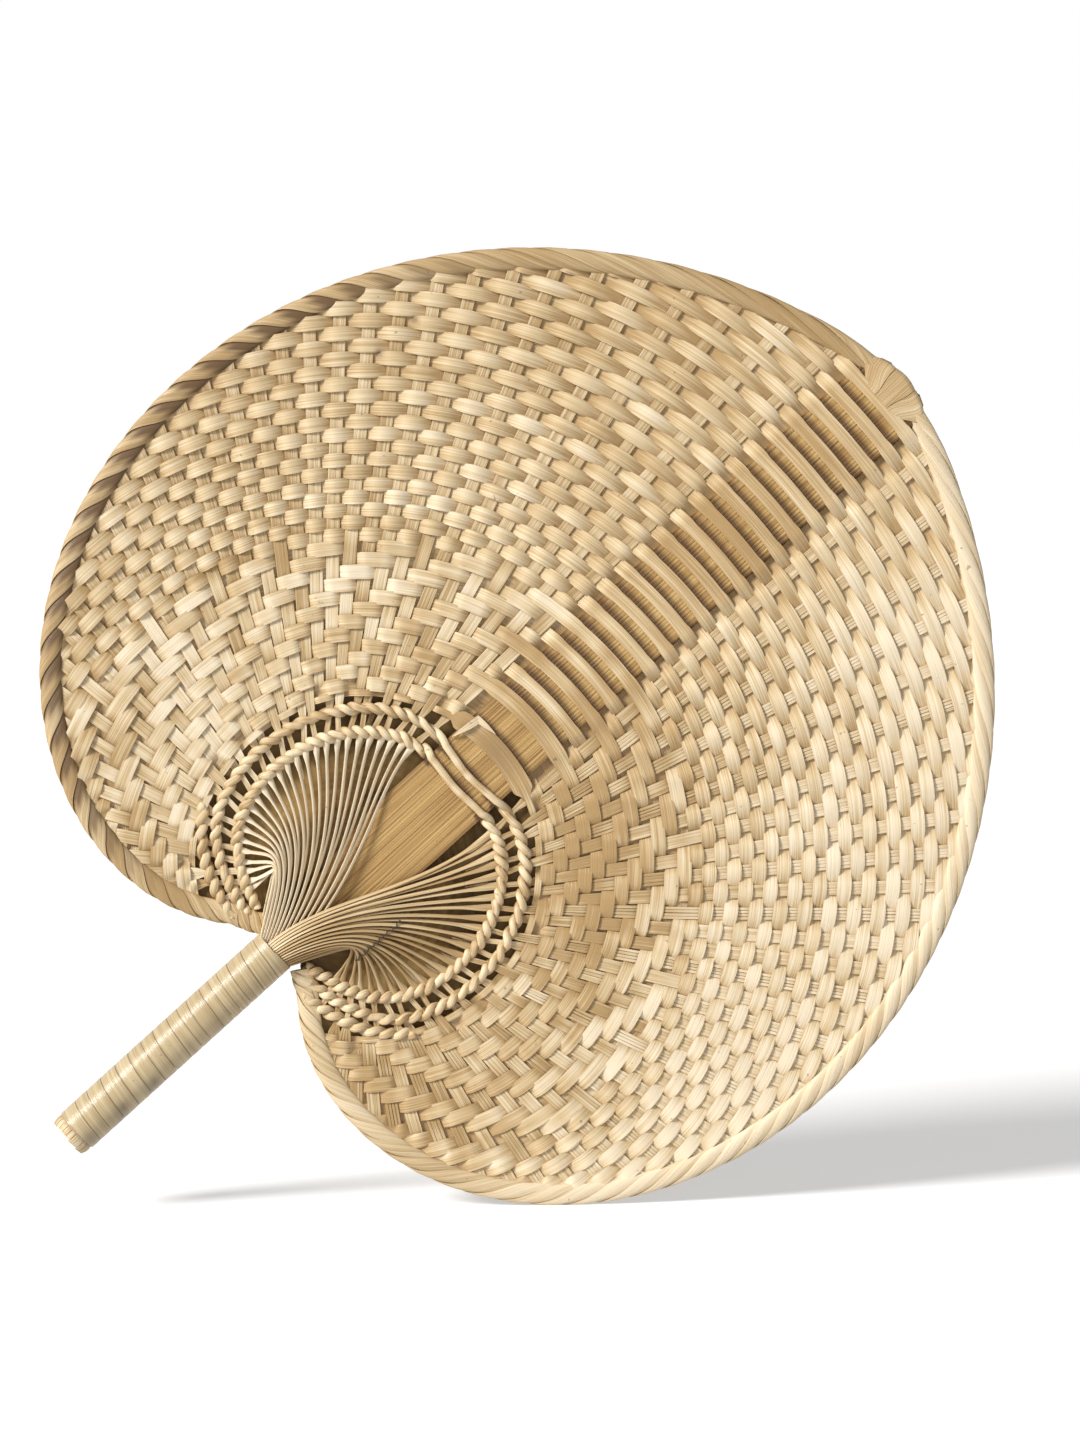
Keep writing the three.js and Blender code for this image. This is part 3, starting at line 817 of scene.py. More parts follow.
class Finish(Enum):
    """The finishes of the fan's pieces."""

    ROW = SplintFinish(
        "woven_row_splint",
        "splint_pale",
        dark=(0.45, 0.29, 0.125),
        middle=(0.68, 0.515, 0.295),
        light=(0.87, 0.745, 0.55),
        cut=(0.40, 0.25, 0.10),
        base=0.5,
        bleach=0.45,
        tone=0.3,
        exposed=0.36,
        edge=0.25,
        rough=0.42,
        specular=0.5,
        stain_and_shadow_share=0.75,
    )
    STAKE = SplintFinish(
        "stake_splint",
        "splint_tan",
        dark=(0.44, 0.29, 0.13),
        middle=(0.68, 0.52, 0.305),
        light=(0.85, 0.72, 0.52),
        cut=(0.36, 0.22, 0.09),
        base=0.52,
        bleach=0.4,
        exposed=0.25,
        edge=0.12,
        rough=0.46,
        specular=0.4,
        stain_and_shadow_share=0.9,
    )
    RING = SplintFinish(
        "ring_strand",
        "splint_tan",
        dark=(0.42, 0.27, 0.12),
        middle=(0.66, 0.49, 0.28),
        light=(0.82, 0.68, 0.46),
        cut=(0.30, 0.17, 0.06),
        exposed=0.5,
        along=0.06,
    )
    STAVE = SplintFinish(
        "split_bamboo",
        "stave_bamboo",
        dark=(0.30, 0.16, 0.055),
        middle=(0.50, 0.31, 0.11),
        light=(0.64, 0.44, 0.19),
        cut=(0.20, 0.10, 0.03),
        # edge, edge_start and edge_width darken the slat's long edges: partly their own cut colour, partly
        # painted shade in the gaps where the rows pass them.
        edge=0.7,
        edge_start=0.8,
        edge_width=0.2,
        along=0.012,
        across=1.5,
        coarse=0.5,
        bleach=0.1,
        grain_height=0.0003,
        # The deep colour here paints the shadows beside the strips on the slat.
        deep=(0.075, 0.03, 0.006),
        stain_and_shadow_share=0.9,
    )
    WRAP = SplintFinish(
        "handle_strip",
        "wrap_strip",
        dark=(0.30, 0.20, 0.08),
        middle=(0.53, 0.415, 0.235),
        light=(0.73, 0.625, 0.43),
        cut=(0.20, 0.12, 0.045),
        base=0.36,
        streak=0.4,
        coarse=0.25,
        along=0.02,
        across=3.2,
        edge=0.85,
        edge_start=0.88,
        edge_width=0.12,
        rough=0.33,
        specular=0.8,
        bleach=0.0,
        tone=0.3,
        deep=(0.13, 0.095, 0.05),
        stain_and_shadow_share=0.6,
    )
    THREAD = SplintFinish(
        "dark_thread",
        "lining_leaf",
        dark=(0.03, 0.02, 0.012),
        middle=(0.07, 0.05, 0.03),
        light=(0.14, 0.1, 0.06),
        cut=(0.03, 0.02, 0.012),
        bleach=0.0,
        rough=0.7,
    )
    LINING = SplintFinish(
        "dry_leaf",
        "lining_leaf",
        dark=(0.10, 0.052, 0.014),
        middle=(0.26, 0.152, 0.05),
        light=(0.47, 0.31, 0.12),
        cut=(0.12, 0.07, 0.02),
        patch=1.1,
        streak=0.3,
        bleach=0.0,
        # edge, edge_start and edge_width darken most of the leaf towards its outer edge and its inner end, a
        # paler band between: painted shade under the rings, not cut edges.
        edge=0.7,
        edge_start=0.1,
        edge_width=0.35,
        along=0.08,
        across=0.5,
        rough=0.7,
    )


class Bench:
    """Where pieces are made: it keeps the materials and finishes each mesh the same way."""

    def __init__(self) -> None:
        """Builds the shared groups and every material."""
        groups = EffectGroups()
        self.materials = {finish: finish.value.material(groups) for finish in Finish}

    @staticmethod
    def only(piece: Piece) -> None:
        """Makes one object the only selected and active one.

        Args:
            piece: The object.
        """
        bpy.ops.object.select_all(action="DESELECT")
        piece.select_set(True)
        bpy.context.view_layer.objects.active = piece

    def reshape(self, piece: Piece, kind: str, **settings: object) -> None:
        """Puts a piece through one modifier.

        Args:
            piece: The mesh object.
            kind: Blender's name of the modifier's kind.
            settings: The modifier's settings.
        """
        self.only(piece)
        modifier = piece.modifiers.new(kind.lower(), kind)
        for name, value in settings.items():
            setattr(modifier, name, value)
        bpy.ops.object.modifier_apply(modifier=modifier.name)

    def thicken(self, piece: Piece, thickness: float) -> None:
        """Gives a sheet its thickness, half to each side."""
        self.reshape(piece, "SOLIDIFY", thickness=thickness * MM, offset=0.0)

    def soften(self, piece: Piece, width: float) -> None:
        """Rounds the sharp edges of a piece a little."""
        self.reshape(piece, "BEVEL", width=width * MM, segments=ROUNDING_STEPS, limit_method="ANGLE")

    def join(self, piece: Piece, other: Piece) -> None:
        """Joins another mesh into a piece.

        Args:
            piece: The object that stays.
            other: The object that goes into it.
        """
        self.only(piece)
        other.select_set(True)
        bpy.ops.object.join()

    def dress(self, piece: Piece, finish: Finish, *nodes: str) -> Piece:
        """Gives a piece its finish and its place in the frame.

        Args:
            piece: The finished mesh object.
            finish: The finish it gets.
            nodes: The solids that it stands for.

        Returns:
            The same object.
        """
        piece.data.materials.clear()
        piece.data.materials.append(self.materials[finish])
        piece.data.shade_smooth()
        piece.data.set_sharp_from_angle(angle=math.radians(CRISP_FROM_DEG))
        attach(piece, BODY)
        if nodes:
            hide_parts(*nodes)
        log.info("%s: %d faces, stands for %s", piece.name, len(piece.data.polygons), ", ".join(nodes))
        return piece


class SplintStack:
    """Splints of one piece, each a grid of points, gathered into one mesh."""

    def __init__(self, seed: int) -> None:
        """Starts an empty stack.

        Args:
            seed: The start of its own draw of tones.
        """
        self.draw = np.random.default_rng(seed)
        self.points: list[Array] = []
        self.faces: list[Array] = []
        self.uv: list[Array] = []
        self.tone: list[Array] = []
        self.edge: list[Array] = []
        self.deep: list[Array] = []
        self.count = 0

    def add(
        self,
        grid: Array,
        closed: bool = False,
        tone: Array | float | None = None,
        deep: Array | float = 0.0,
    ) -> None:
        """Adds one splint.

        Args:
            grid: Points along and across it, in millimetres of the fan's plane.
            closed: Whether the lines across close into a tube.
            tone: Its shade from 0 to 1, one for all, for each place along it or for each point. It is
                drawn if not given.
            deep: 1 where it is stained, and where painted shadow falls on it under its neighbour and beside
                raised strips, one for all or for each point.
        """
        along, across = grid.shape[:2]
        span = np.linalg.norm(np.diff(grid.mean(axis=1), axis=0), axis=-1)
        length = np.concatenate([[0.0], np.cumsum(span)]) + self.draw.uniform(*STARTS_ALONG)
        steps = np.linalg.norm(np.diff(grid, axis=1), axis=-1)
        width = np.concatenate([np.zeros((along, 1)), np.cumsum(steps, axis=1)], axis=1)
        width = width - width[:, -1:] / 2.0 + self.draw.uniform(*STARTS_ACROSS)
        index = np.arange(along * across).reshape(along, across) + self.count
        beside = np.roll(index, -1, axis=1)
        last = across if closed else across - 1
        quads = [index[:-1, :last], index[1:, :last], beside[1:, :last], beside[:-1, :last]]
        self.faces.append(np.stack(quads, axis=-1).reshape(-1, 4))
        self.points.append(grid.reshape(-1, 3))
        self.uv.append(np.stack([np.repeat(length[:, None], across, axis=1), width], axis=-1).reshape(-1, 2))
        shade = np.asarray(self.draw.uniform(*TONES) if tone is None else tone, float)
        if shade.ndim == 1:
            shade = shade[:, None]
        self.tone.append(np.broadcast_to(shade, (along, across)).ravel())
        self.deep.append(np.broadcast_to(np.asarray(deep, float), (along, across)).ravel())
        lines = np.zeros(across) if closed else np.abs(np.linspace(-1.0, 1.0, across))
        if across == len(SPLINT_LINES) and not closed:
            lines = np.abs(SPLINT_LINES)
        self.edge.append(np.tile(lines, along))
        self.count += along * across

    def build(self, name: str) -> Piece:
        """Makes the mesh object, with its UV map and its tone, edge and deep attributes.

        Args:
            name: The object's name.

        Returns:
            The object, in the scene.
        """
        mesh = bpy.data.meshes.new(name)
        points = PLAN.to_shared_frame(np.concatenate(self.points))
        mesh.from_pydata(points.tolist(), [], np.concatenate(self.faces).tolist())
        corners = np.zeros(len(mesh.loops), np.int32)
        mesh.loops.foreach_get("vertex_index", corners)
        layer = mesh.uv_layers.new(name=UV_NAME)
        layer.data.foreach_set("uv", np.concatenate(self.uv)[corners].astype(np.float32).ravel())
        for label, values in (("tone", self.tone), ("edge", self.edge), ("deep", self.deep)):
            attribute = mesh.attributes.new(label, "FLOAT", "POINT")
            attribute.data.foreach_set("value", np.concatenate(values).astype(np.float32))
        piece = bpy.data.objects.new(name, mesh)
        bpy.context.scene.collection.objects.link(piece)
        return piece


@dataclass(frozen=True)
class Stray:
    """A slow wave by which hand-laid rows leave their true circles."""

    amount: float
    per_turn: float
    per_mm: float
    start: float

    def at(self, reach: Array, turned: Array) -> Array:
        """How far a row strays at a reach and an angle about the eye."""
        return self.amount * np.sin(self.per_turn * turned + self.per_mm * reach + self.start)


@dataclass
class Weave:
    """Which rows pass in front of which stakes, and by how much."""

    plain_lift: float = 1.12
    twill_lift: float = 0.98
    side_lift: Range = (1.14, 0.88)
    flat_share: float = 0.8
    flat_deg: Range = (40.0, 75.0)
    stake_plain: float = 0.16
    stake_twill: float = 0.3
    stave_lift: float = 1.45
    stave_bow: float = 0.4
    kept_behind: tuple[int, ...] = (2,)
    behind_lift: float = 1.95
    uneven_lift: float = 0.12
    uneven_tilt: float = 0.09
    strays: tuple[Stray, ...] = (Stray(0.32, 5.3, 0.021, 1.0), Stray(0.22, 9.1, -0.045, 2.4))
    seed: int = 7
    share: Array = field(init=False)
    angle: Array = field(init=False)
    jitter: Array = field(init=False)
    tilt: Array = field(init=False)

    def __post_init__(self) -> None:
        """Works out every crossing and draws how uneven each one is."""
        self.share, self.angle = PLAN.crossing(PLAN.row_reach(np.arange(PLAN.rows)))
        draw = np.random.default_rng(self.seed)
        shape = (len(Side), PLAN.stakes, PLAN.rows)
        self.jitter = 1.0 + self.uneven_lift * uneven(draw, shape)
        self.tilt = self.uneven_tilt * uneven(draw, shape)

    def front(self, row: int) -> int:
        """1 where a row passes in front of the stave, -1 where it passes behind."""
        return 1 if row % 2 == 0 and row not in self.kept_behind else -1

    def over_stave(self, row: int) -> float:
        """How far off the plane a row crosses the edge of the stave."""
        return -self.behind_lift if row in self.kept_behind else self.stave_lift * self.front(row)

    def passes(self, row: Array, stake: Array) -> Array:
        """Which side of the stakes the rows pass: twill near the eye, plain weave farther out.

        Args:
            row: Numbers of the rows.
            stake: Numbers of the stakes.

        Returns:
            1 where a row passes in front of a stake, -1 where it passes behind.
        """
        twill = np.where((stake + row) % 4 < 2, 1, -1)
        plain = np.where((stake + row) % 2 == 0, -1, 1)
        return np.where(row < PLAN.twill_rows, twill, plain)

    def row_lift(self, row: Array) -> Array:
        """How far a row swings off the plane at a stake."""
        return np.where(row < PLAN.twill_rows, self.twill_lift, self.plain_lift)

    def flattened(self, angle: Array) -> Array:
        """The share of their lift that rows keep: they lie flatter beside the stave."""
        start, end = self.flat_deg
        return mix(self.flat_share, 1.0, ease((np.degrees(angle) - start) / (end - start)))

    def stake_lift(self, row: Array) -> Array:
        """How far a stake swings the other way."""
        return np.where(row < PLAN.twill_rows, self.stake_twill, self.stake_plain)

    def wander(self, reach: Array, turned: Array) -> Array:
        """How far the hand-laid rows stray from true circles."""
        return sum(stray.at(reach, turned) for stray in self.strays)


@dataclass(frozen=True)
class Splinter:
    """A torn piece of a strip, from its tip to its root: how far past the eye and how far beside it."""

    tip: Range
    root: Range
    half_width: float
    rise: float
    steps: int = 14
    taper: float = 0.95
    clear: float = 0.5

    def grid(self, lift: float) -> Array:
        """The splinter's points.

        Args:
            lift: How high the strip that it is torn from lies.

        Returns:
            Points along and across it.
        """
        line = SPLINT_LINES[None, :, None]
        share = np.linspace(0.0, 1.0, self.steps)[:, None, None]
        way = np.array(self.root) - np.array(self.tip)
        beside = unit(np.array([-way[1], way[0]])) * line * self.half_width
        start = np.array([PLAN.eye + self.tip[0], self.tip[1]])
        plane = start + way * share + beside * (1.0 - self.taper * (1.0 - share) ** 2)
        return lift_to_3d(plane, lift + self.clear + self.rise * np.sin(math.pi * share[..., 0]))


@dataclass
class WovenRows:
    """The rows that circle the eye, over and under the stakes."""

    weave: Weave
    thickness: float = 0.36
    step: float = 1.0
    cover: float = 1.17
    waist: float = 0.14
    first_row_share: float = 0.45
    crown: float = 0.07
    crown_power: float = 2.4
    shade_wave: float = 0.35
    shade_rate: Range = (0.02, 0.035)
    mottle: float = 1.0
    # stave_shades: how much darker rows are over the stave at each reach, partly their greyer colour and
    # partly painted shade.
    stave_shades: tuple[tuple[float, ...], ...] = (
        (60.0, 75.0, 85.0, 126.0, 142.0, 162.0, 172.0, 184.0),
        (1.0, 0.5, 0.2, 0.6, 0.9, 1.3, 1.3, 0.9),
    )
    stave_shade_run: float = 7.0
    strip_share: float = 0.86
    widened: tuple[tuple[int, float], ...] = ((0, 3.1), (4, 1.2))
    widened_from: float = 1.6
    widened_run: float = 3.5
    full_from: float = 0.55
    snug_to: float = 4.0
    snug_run: float = 3.0
    tuck_run: float = 5.0
    tuck_depth: float = 4.2
    end_inset: float = 3.6
    end_skew: float = 1.3
    end_skew_run: float = 12.0
    torn_row: int = 0
    torn: tuple[Splinter, ...] = (
        Splinter(tip=(51.5, 13.8), root=(62.6, 11.9), half_width=1.3, rise=0.9),
        Splinter(tip=(63.2, 4.4), root=(62.0, 13.0), half_width=1.15, rise=0.4),
    )
    torn_tone: float = 1.2
    seed: int = 100

    def row_share(self, row: int) -> float:
        """A row's share of the usual width: the first is a narrow one."""
        return self.first_row_share if row == 0 else 1.0

    def laid_at(self, row: int) -> float:
        """How far out a row is laid: a narrow one lies at the outer side of its place."""
        return float(PLAN.row_reach(row)) + PLAN.row_pitch * (1.0 - self.row_share(row)) / 2.0

    def stave_share(self, row: int) -> float:
        """A row's share of its width where it crosses the stave."""
        return dict(self.widened).get(row, self.strip_share)

    def strip_edges(self) -> tuple[float, ...]:
        """The strips that cross in front of the stave.

        Returns:
            How far out the outer edge of each lies.
        """
        edges = []
        for row in range(PLAN.rows):
            if self.weave.front(row) > 0:
                width = PLAN.row_pitch * self.cover * self.stave_share(row) * self.row_share(row)
                edges.append(self.laid_at(row) + width / 2.0)
        return tuple(edges)

    def width(self, row: int, height: Array, from_stave: Array) -> Array:
        """A row's width: full over a stake, drawn in between stakes and its own over the stave.

        Args:
            row: The row's number from the eye out.
            height: Heights along it.
            from_stave: How far each place lies from the edge of the stave.

        Returns:
            The width at each place.
        """
        fullness = np.clip(np.abs(height) / (self.full_from * self.weave.row_lift(row)), 0.0, 1.0)
        fullness = np.maximum(fullness, 1.0 - ease((from_stave - self.snug_to) / self.snug_run))
        width = PLAN.row_pitch * (self.cover - self.waist * (1.0 - fullness))
        share = self.stave_share(row)
        start = self.widened_from if share > 1.0 else -self.widened_run
        return width * mix(share, 1.0, ease((from_stave - start) / self.widened_run)) * self.row_share(row)

    def half(self, row: int, side: Side) -> Array:
        """One row's points on one lobe.

        Args:
            row: The row's number from the eye out.
            side: The lobe.

        Returns:
            Points along it, from the middle of the stave out, and across it.
        """
        weave = self.weave
        reach = float(PLAN.row_reach(row))
        end = PLAN.run_out(reach, self.end_inset)
        angle = np.linspace(0.0, end, int(end * reach / self.step) + 4)
        edge = math.asin((PLAN.stave_half + PLAN.clearance) / reach)
        met = np.flatnonzero((weave.angle[:, row] > edge) & (weave.angle[:, row] < end))
        which = 0 if side is Side.LEFT else 1
        swing = weave.passes(np.full(len(met), row), met) * weave.row_lift(row)
        swing = swing * weave.jitter[which, met, row] * weave.side_lift[which]
        if side is Side.LEFT:
            swing = swing * weave.flattened(weave.angle[met, row])
        over = weave.over_stave(row)
        knots = np.concatenate([[0.0, edge], weave.angle[met, row], [end + PAST_END]])
        heights = np.concatenate([[over + weave.stave_bow * weave.front(row), over], swing, [0.0]])
        tilts = np.concatenate([[0.0, 0.0], weave.tilt[which, met, row], [0.0]])
        from_end = (end - angle) * reach - self.tuck_depth
        z = eased_between(angle, knots, heights) * ease(from_end / self.tuck_run)
        tilt = eased_between(angle, knots, tilts)
        width = self.width(row, z, reach * np.sin(angle) - PLAN.stave_half)
        laid = self.laid_at(row)
        line = SPLINT_LINES[None, :]
        lines_reach = laid + line * width[:, None] / 2.0
        near_end = ease((angle - end) * laid / self.end_skew_run + 1.0)[:, None]
        turned = angle[:, None] + line * near_end * self.end_skew * PLAN.row_pitch / 2.0 / laid
        strayed = lines_reach + weave.wander(lines_reach, turned * side.value)
        height = z[:, None] * (1.0 - self.crown * np.abs(line) ** self.crown_power) + tilt[:, None] * line
        return lift_to_3d(PLAN.polar(strayed, turned, side.value), height)

    def shade(self, middle: Array, draw: np.random.Generator) -> Array:
        """A row's shade along it: its own, slowly changing, and darker over the stave, partly the strips'
        greyer colour there and partly painted shade on strips raised into the light.

        Args:
            middle: Its middle line.
            draw: The source of its shade.

        Returns:
            The shade at each place.
        """
        place = np.cumsum(np.linalg.norm(np.gradient(middle, axis=0), axis=-1))
        wave = np.sin(place * draw.uniform(*self.shade_rate) + draw.uniform(*WAVE_STARTS))
        # Darker over the stave: partly the strips' own greyer colour, partly painted shade on strips raised
        # into the light.
        over_stave = 1.0 - ease((np.abs(middle[:, 1]) - PLAN.stave_half) / self.stave_shade_run)
        depth = np.interp(PLAN.from_eye(middle), *self.stave_shades)
        return draw.uniform(*TONES) + self.shade_wave * wave - depth * over_stave

    def build(self, bench: Bench) -> list[Piece]:
        """Makes and dresses each row as a piece of its own.

        Args:
            bench: Where they are made.

        Returns:
            The pieces.
        """
        made = []
        for row in range(PLAN.rows):
            stack = SplintStack(self.seed + row)
            grid = np.concatenate([self.half(row, Side.RIGHT)[:0:-1], self.half(row, Side.LEFT)])
            middle = grid.mean(axis=1)
            tone = self.shade(middle, stack.draw) + mottled(middle, stack.draw, self.mottle)
            stack.add(grid, tone=tone[:, None] + faded(BLADE_FADES, grid), deep=faded(KNOT_SPOTS, grid))
            for splinter in self.torn if row == self.torn_row else ():
                stack.add(splinter.grid(self.weave.stave_lift), tone=self.torn_tone)
            piece = stack.build(f"row_{row + 1:02d}")
            bench.thicken(piece, self.thickness)
            made.append(bench.dress(piece, Finish.ROW, f"weft_{row + 1:02d}"))
        return made


@dataclass(frozen=True)
class Band:
    """A band of slivers, with what it has at the stave's side and at the heel's.

    neck is its range across the neck, radius and top hold it to the bundle, way_deg and run are how it
    leaves the neck, ring_run is how it comes in from the ring, and face is the side of the fan it lies on.
    shade lifts or lowers the tone of its slivers: the left band's lift is painted light against the shade
    that its on-edge slivers turn into, and the right band is darker.
    """

    neck: Range
    radius: float
    top: float
    way_deg: Range
    run: Range
    ring_run: Range
    rise: float
    ring_lift: float
    shade: float
    face: int = 1


@dataclass
class Slivers:
    """The stakes' inner ends, which leave the ring flat, turn on edge and gather in bands at the neck."""

    left: Band = Band(
        neck=(-4.9, 6.2),
        radius=6.4,
        top=3.3,
        way_deg=(4.0, 37.0),
        run=(44.0, 38.0),
        ring_run=(20.0, 12.0),
        rise=2.2,
        ring_lift=0.5,
        # Painted light: this band's tone is lifted against the shade of its on-edge slivers.
        shade=1.5,
    )
    right: Band = Band(
        neck=(-3.6, 6.2),
        radius=6.3,
        top=6.3,
        way_deg=(-2.0, 24.0),
        run=(26.0, 35.0),
        ring_run=(34.0, 15.0),
        rise=2.4,
        ring_lift=0.25,
        shade=-0.55,
    )
    back: Band = Band(
        neck=(0.6, 5.0),
        radius=6.3,
        top=6.3,
        way_deg=(8.0, 28.0),
        run=(36.0, 34.0),
        ring_run=(28.0, 15.0),
        rise=0.6,
        ring_lift=0.25,
        shade=0.0,
        face=-1,
    )
    shifts: tuple[float, float, float] = (0.25, 0.0, -0.25)
    columns: tuple[float, float, float] = (0.0, 0.5, 1.0)
    steps: int = 64
    sides: int = 8
    neck_inside: float = 0.6
    under_depth: float = 1.5
    neck_half_width: float = 0.78
    foot_half_width: float = 1.3
    half_thickness: float = 0.4
    neck_turn_deg: float = 70.0
    middle_turn_deg: float = 50.0
    foot_from: float = 0.84

    def place(self, stake: int) -> int:
        """A stake's place in its set of three: 0 in front, 1 behind the eye, 2 under the next in front."""
        return stake % len(self.shifts)

    def goes_behind(self, stake: int) -> bool:
        """Whether a stake passes to the back of the eye."""
        return self.place(stake) == 1

    def lies_under(self, stake: int) -> bool:
        """Whether a stake's sliver lies under the next one in front."""
        return self.place(stake) == 2

    def gather(self, stake: int) -> float:
        """How far along the ring a stake shifts, in stakes, so that those in front stand evenly."""
        return self.shifts[self.place(stake)]

    def column(self, stake: int) -> float:
        """A sliver's share across its band, the same for the two that lie one over the other."""
        return min((stake + self.columns[self.place(stake)]) / (PLAN.stakes - 1), 1.0)

    def band(self, stake: int, side: Side) -> Band:
        """The band that a sliver gathers in."""
        front = self.left if side is Side.LEFT else self.right
        return self.back if self.goes_behind(stake) else front

    def line(self, stake: int, side: Side, start: Array, outward: Array) -> Array:
        """A sliver's middle line, from the neck to the ring.

        Args:
            stake: The stake's number from the stave.
            side: The lobe.
            start: The stake's point on the ring.
            outward: The stake's direction there, away from the eye.

        Returns:
            Points along it.
        """
        band = self.band(stake, side)
        share = self.column(stake)
        y = mix(*band.neck, share)
        z = min(math.sqrt(band.radius**2 - y * y), band.top)
        if self.lies_under(stake):
            z -= self.under_depth
        neck = np.array([PLAN.neck - self.neck_inside, side.value * y, band.face * z])
        way = math.radians(mix(*band.way_deg, share))
        run = mix(*band.run, share)
        leave = np.array([run * math.cos(way), side.value * run * math.sin(way), band.face * band.rise])
        turn_in = start - outward * mix(*band.ring_run, share)
        turn_in[2] = mix(start[2], neck[2], band.ring_lift)
        t = np.linspace(0.0, 1.0, self.steps)[:, None]
        rest = 1.0 - t
        return rest**3 * neck + 3 * rest**2 * t * (neck + leave) + 3 * rest * t**2 * turn_in + t**3 * start

    def tube(self, line: Array, side: Side) -> Array:
        """A sliver's points along and round it.

        Args:
            line: Its middle line.
            side: The lobe.

        Returns:
            Points along it and round it.
        """
        share = np.linspace(0.0, 1.0, self.steps)[:, None]
        along, flat = directions(line)
        on_edge = mix(self.neck_turn_deg, self.middle_turn_deg, ease(share / self.foot_from))
        foot = ease((share - self.foot_from) / (1.0 - self.foot_from))
        angle = np.radians(on_edge * (1.0 - foot)) * side.value
        across = np.cos(angle) * flat + np.sin(angle) * np.cross(along, flat)
        half_width = mix(self.neck_half_width, self.foot_half_width, foot)
        thin = np.cross(along, across) * self.half_thickness
        return round_line(line, across * half_width, thin, self.sides)


@dataclass
class PleatStitch:
    """The dark thread that holds the pleat where the right slivers turn back."""

    beside: float = -21.4
    between: Range = (66.0, 88.0)
    radius: float = 0.24
    steps: int = 14
    sway: float = 0.35
    sides: int = 6
    tone: float = 0.3
    seed: int = 309

    def build(self, bench: Bench, lines: list[Array], clear: float) -> Piece:
        """Makes and dresses the thread.

        Args:
            bench: Where it is made.
            lines: The middle lines of the right slivers in front.
            clear: How far off those lines it lies.

        Returns:
            The thread.
        """
        held = []
        for line in lines:
            past = np.flatnonzero(np.diff(np.sign(line[:, 1] - self.beside)))
            inside = [k for k in past if self.between[0] < line[k, 0] < self.between[1]]
            held.extend(line[k] for k in inside[:1])
        held.sort(key=lambda point: point[0])
        path = np.array(held) + TO_FRONT * (clear + self.radius)
        order = np.arange(len(path))
        place = np.linspace(0.0, len(path) - 1.0, self.steps * len(path))
        smooth = np.stack([np.interp(place, order, values) for values in path.T], axis=-1)
        smooth[:, 1] += self.sway * np.sin(FULL_TURN * place)
        along, across = directions(smooth)
        up = np.cross(along, across)
        stack = SplintStack(self.seed)
        tube = round_line(smooth, across * self.radius, up * self.radius, self.sides)
        stack.add(tube, closed=True, tone=self.tone)
        return bench.dress(stack.build("pleat_stitch"), Finish.THREAD)


@dataclass(frozen=True)
class LobeStyle:
    """What is special to the stakes of one lobe: the gaps between splits and the folds along the rim."""

    gap: Range
    advance: Range
    lap: float
    bow: float
    fold_shade: Range
    heel_folds: int
    heel_past: float


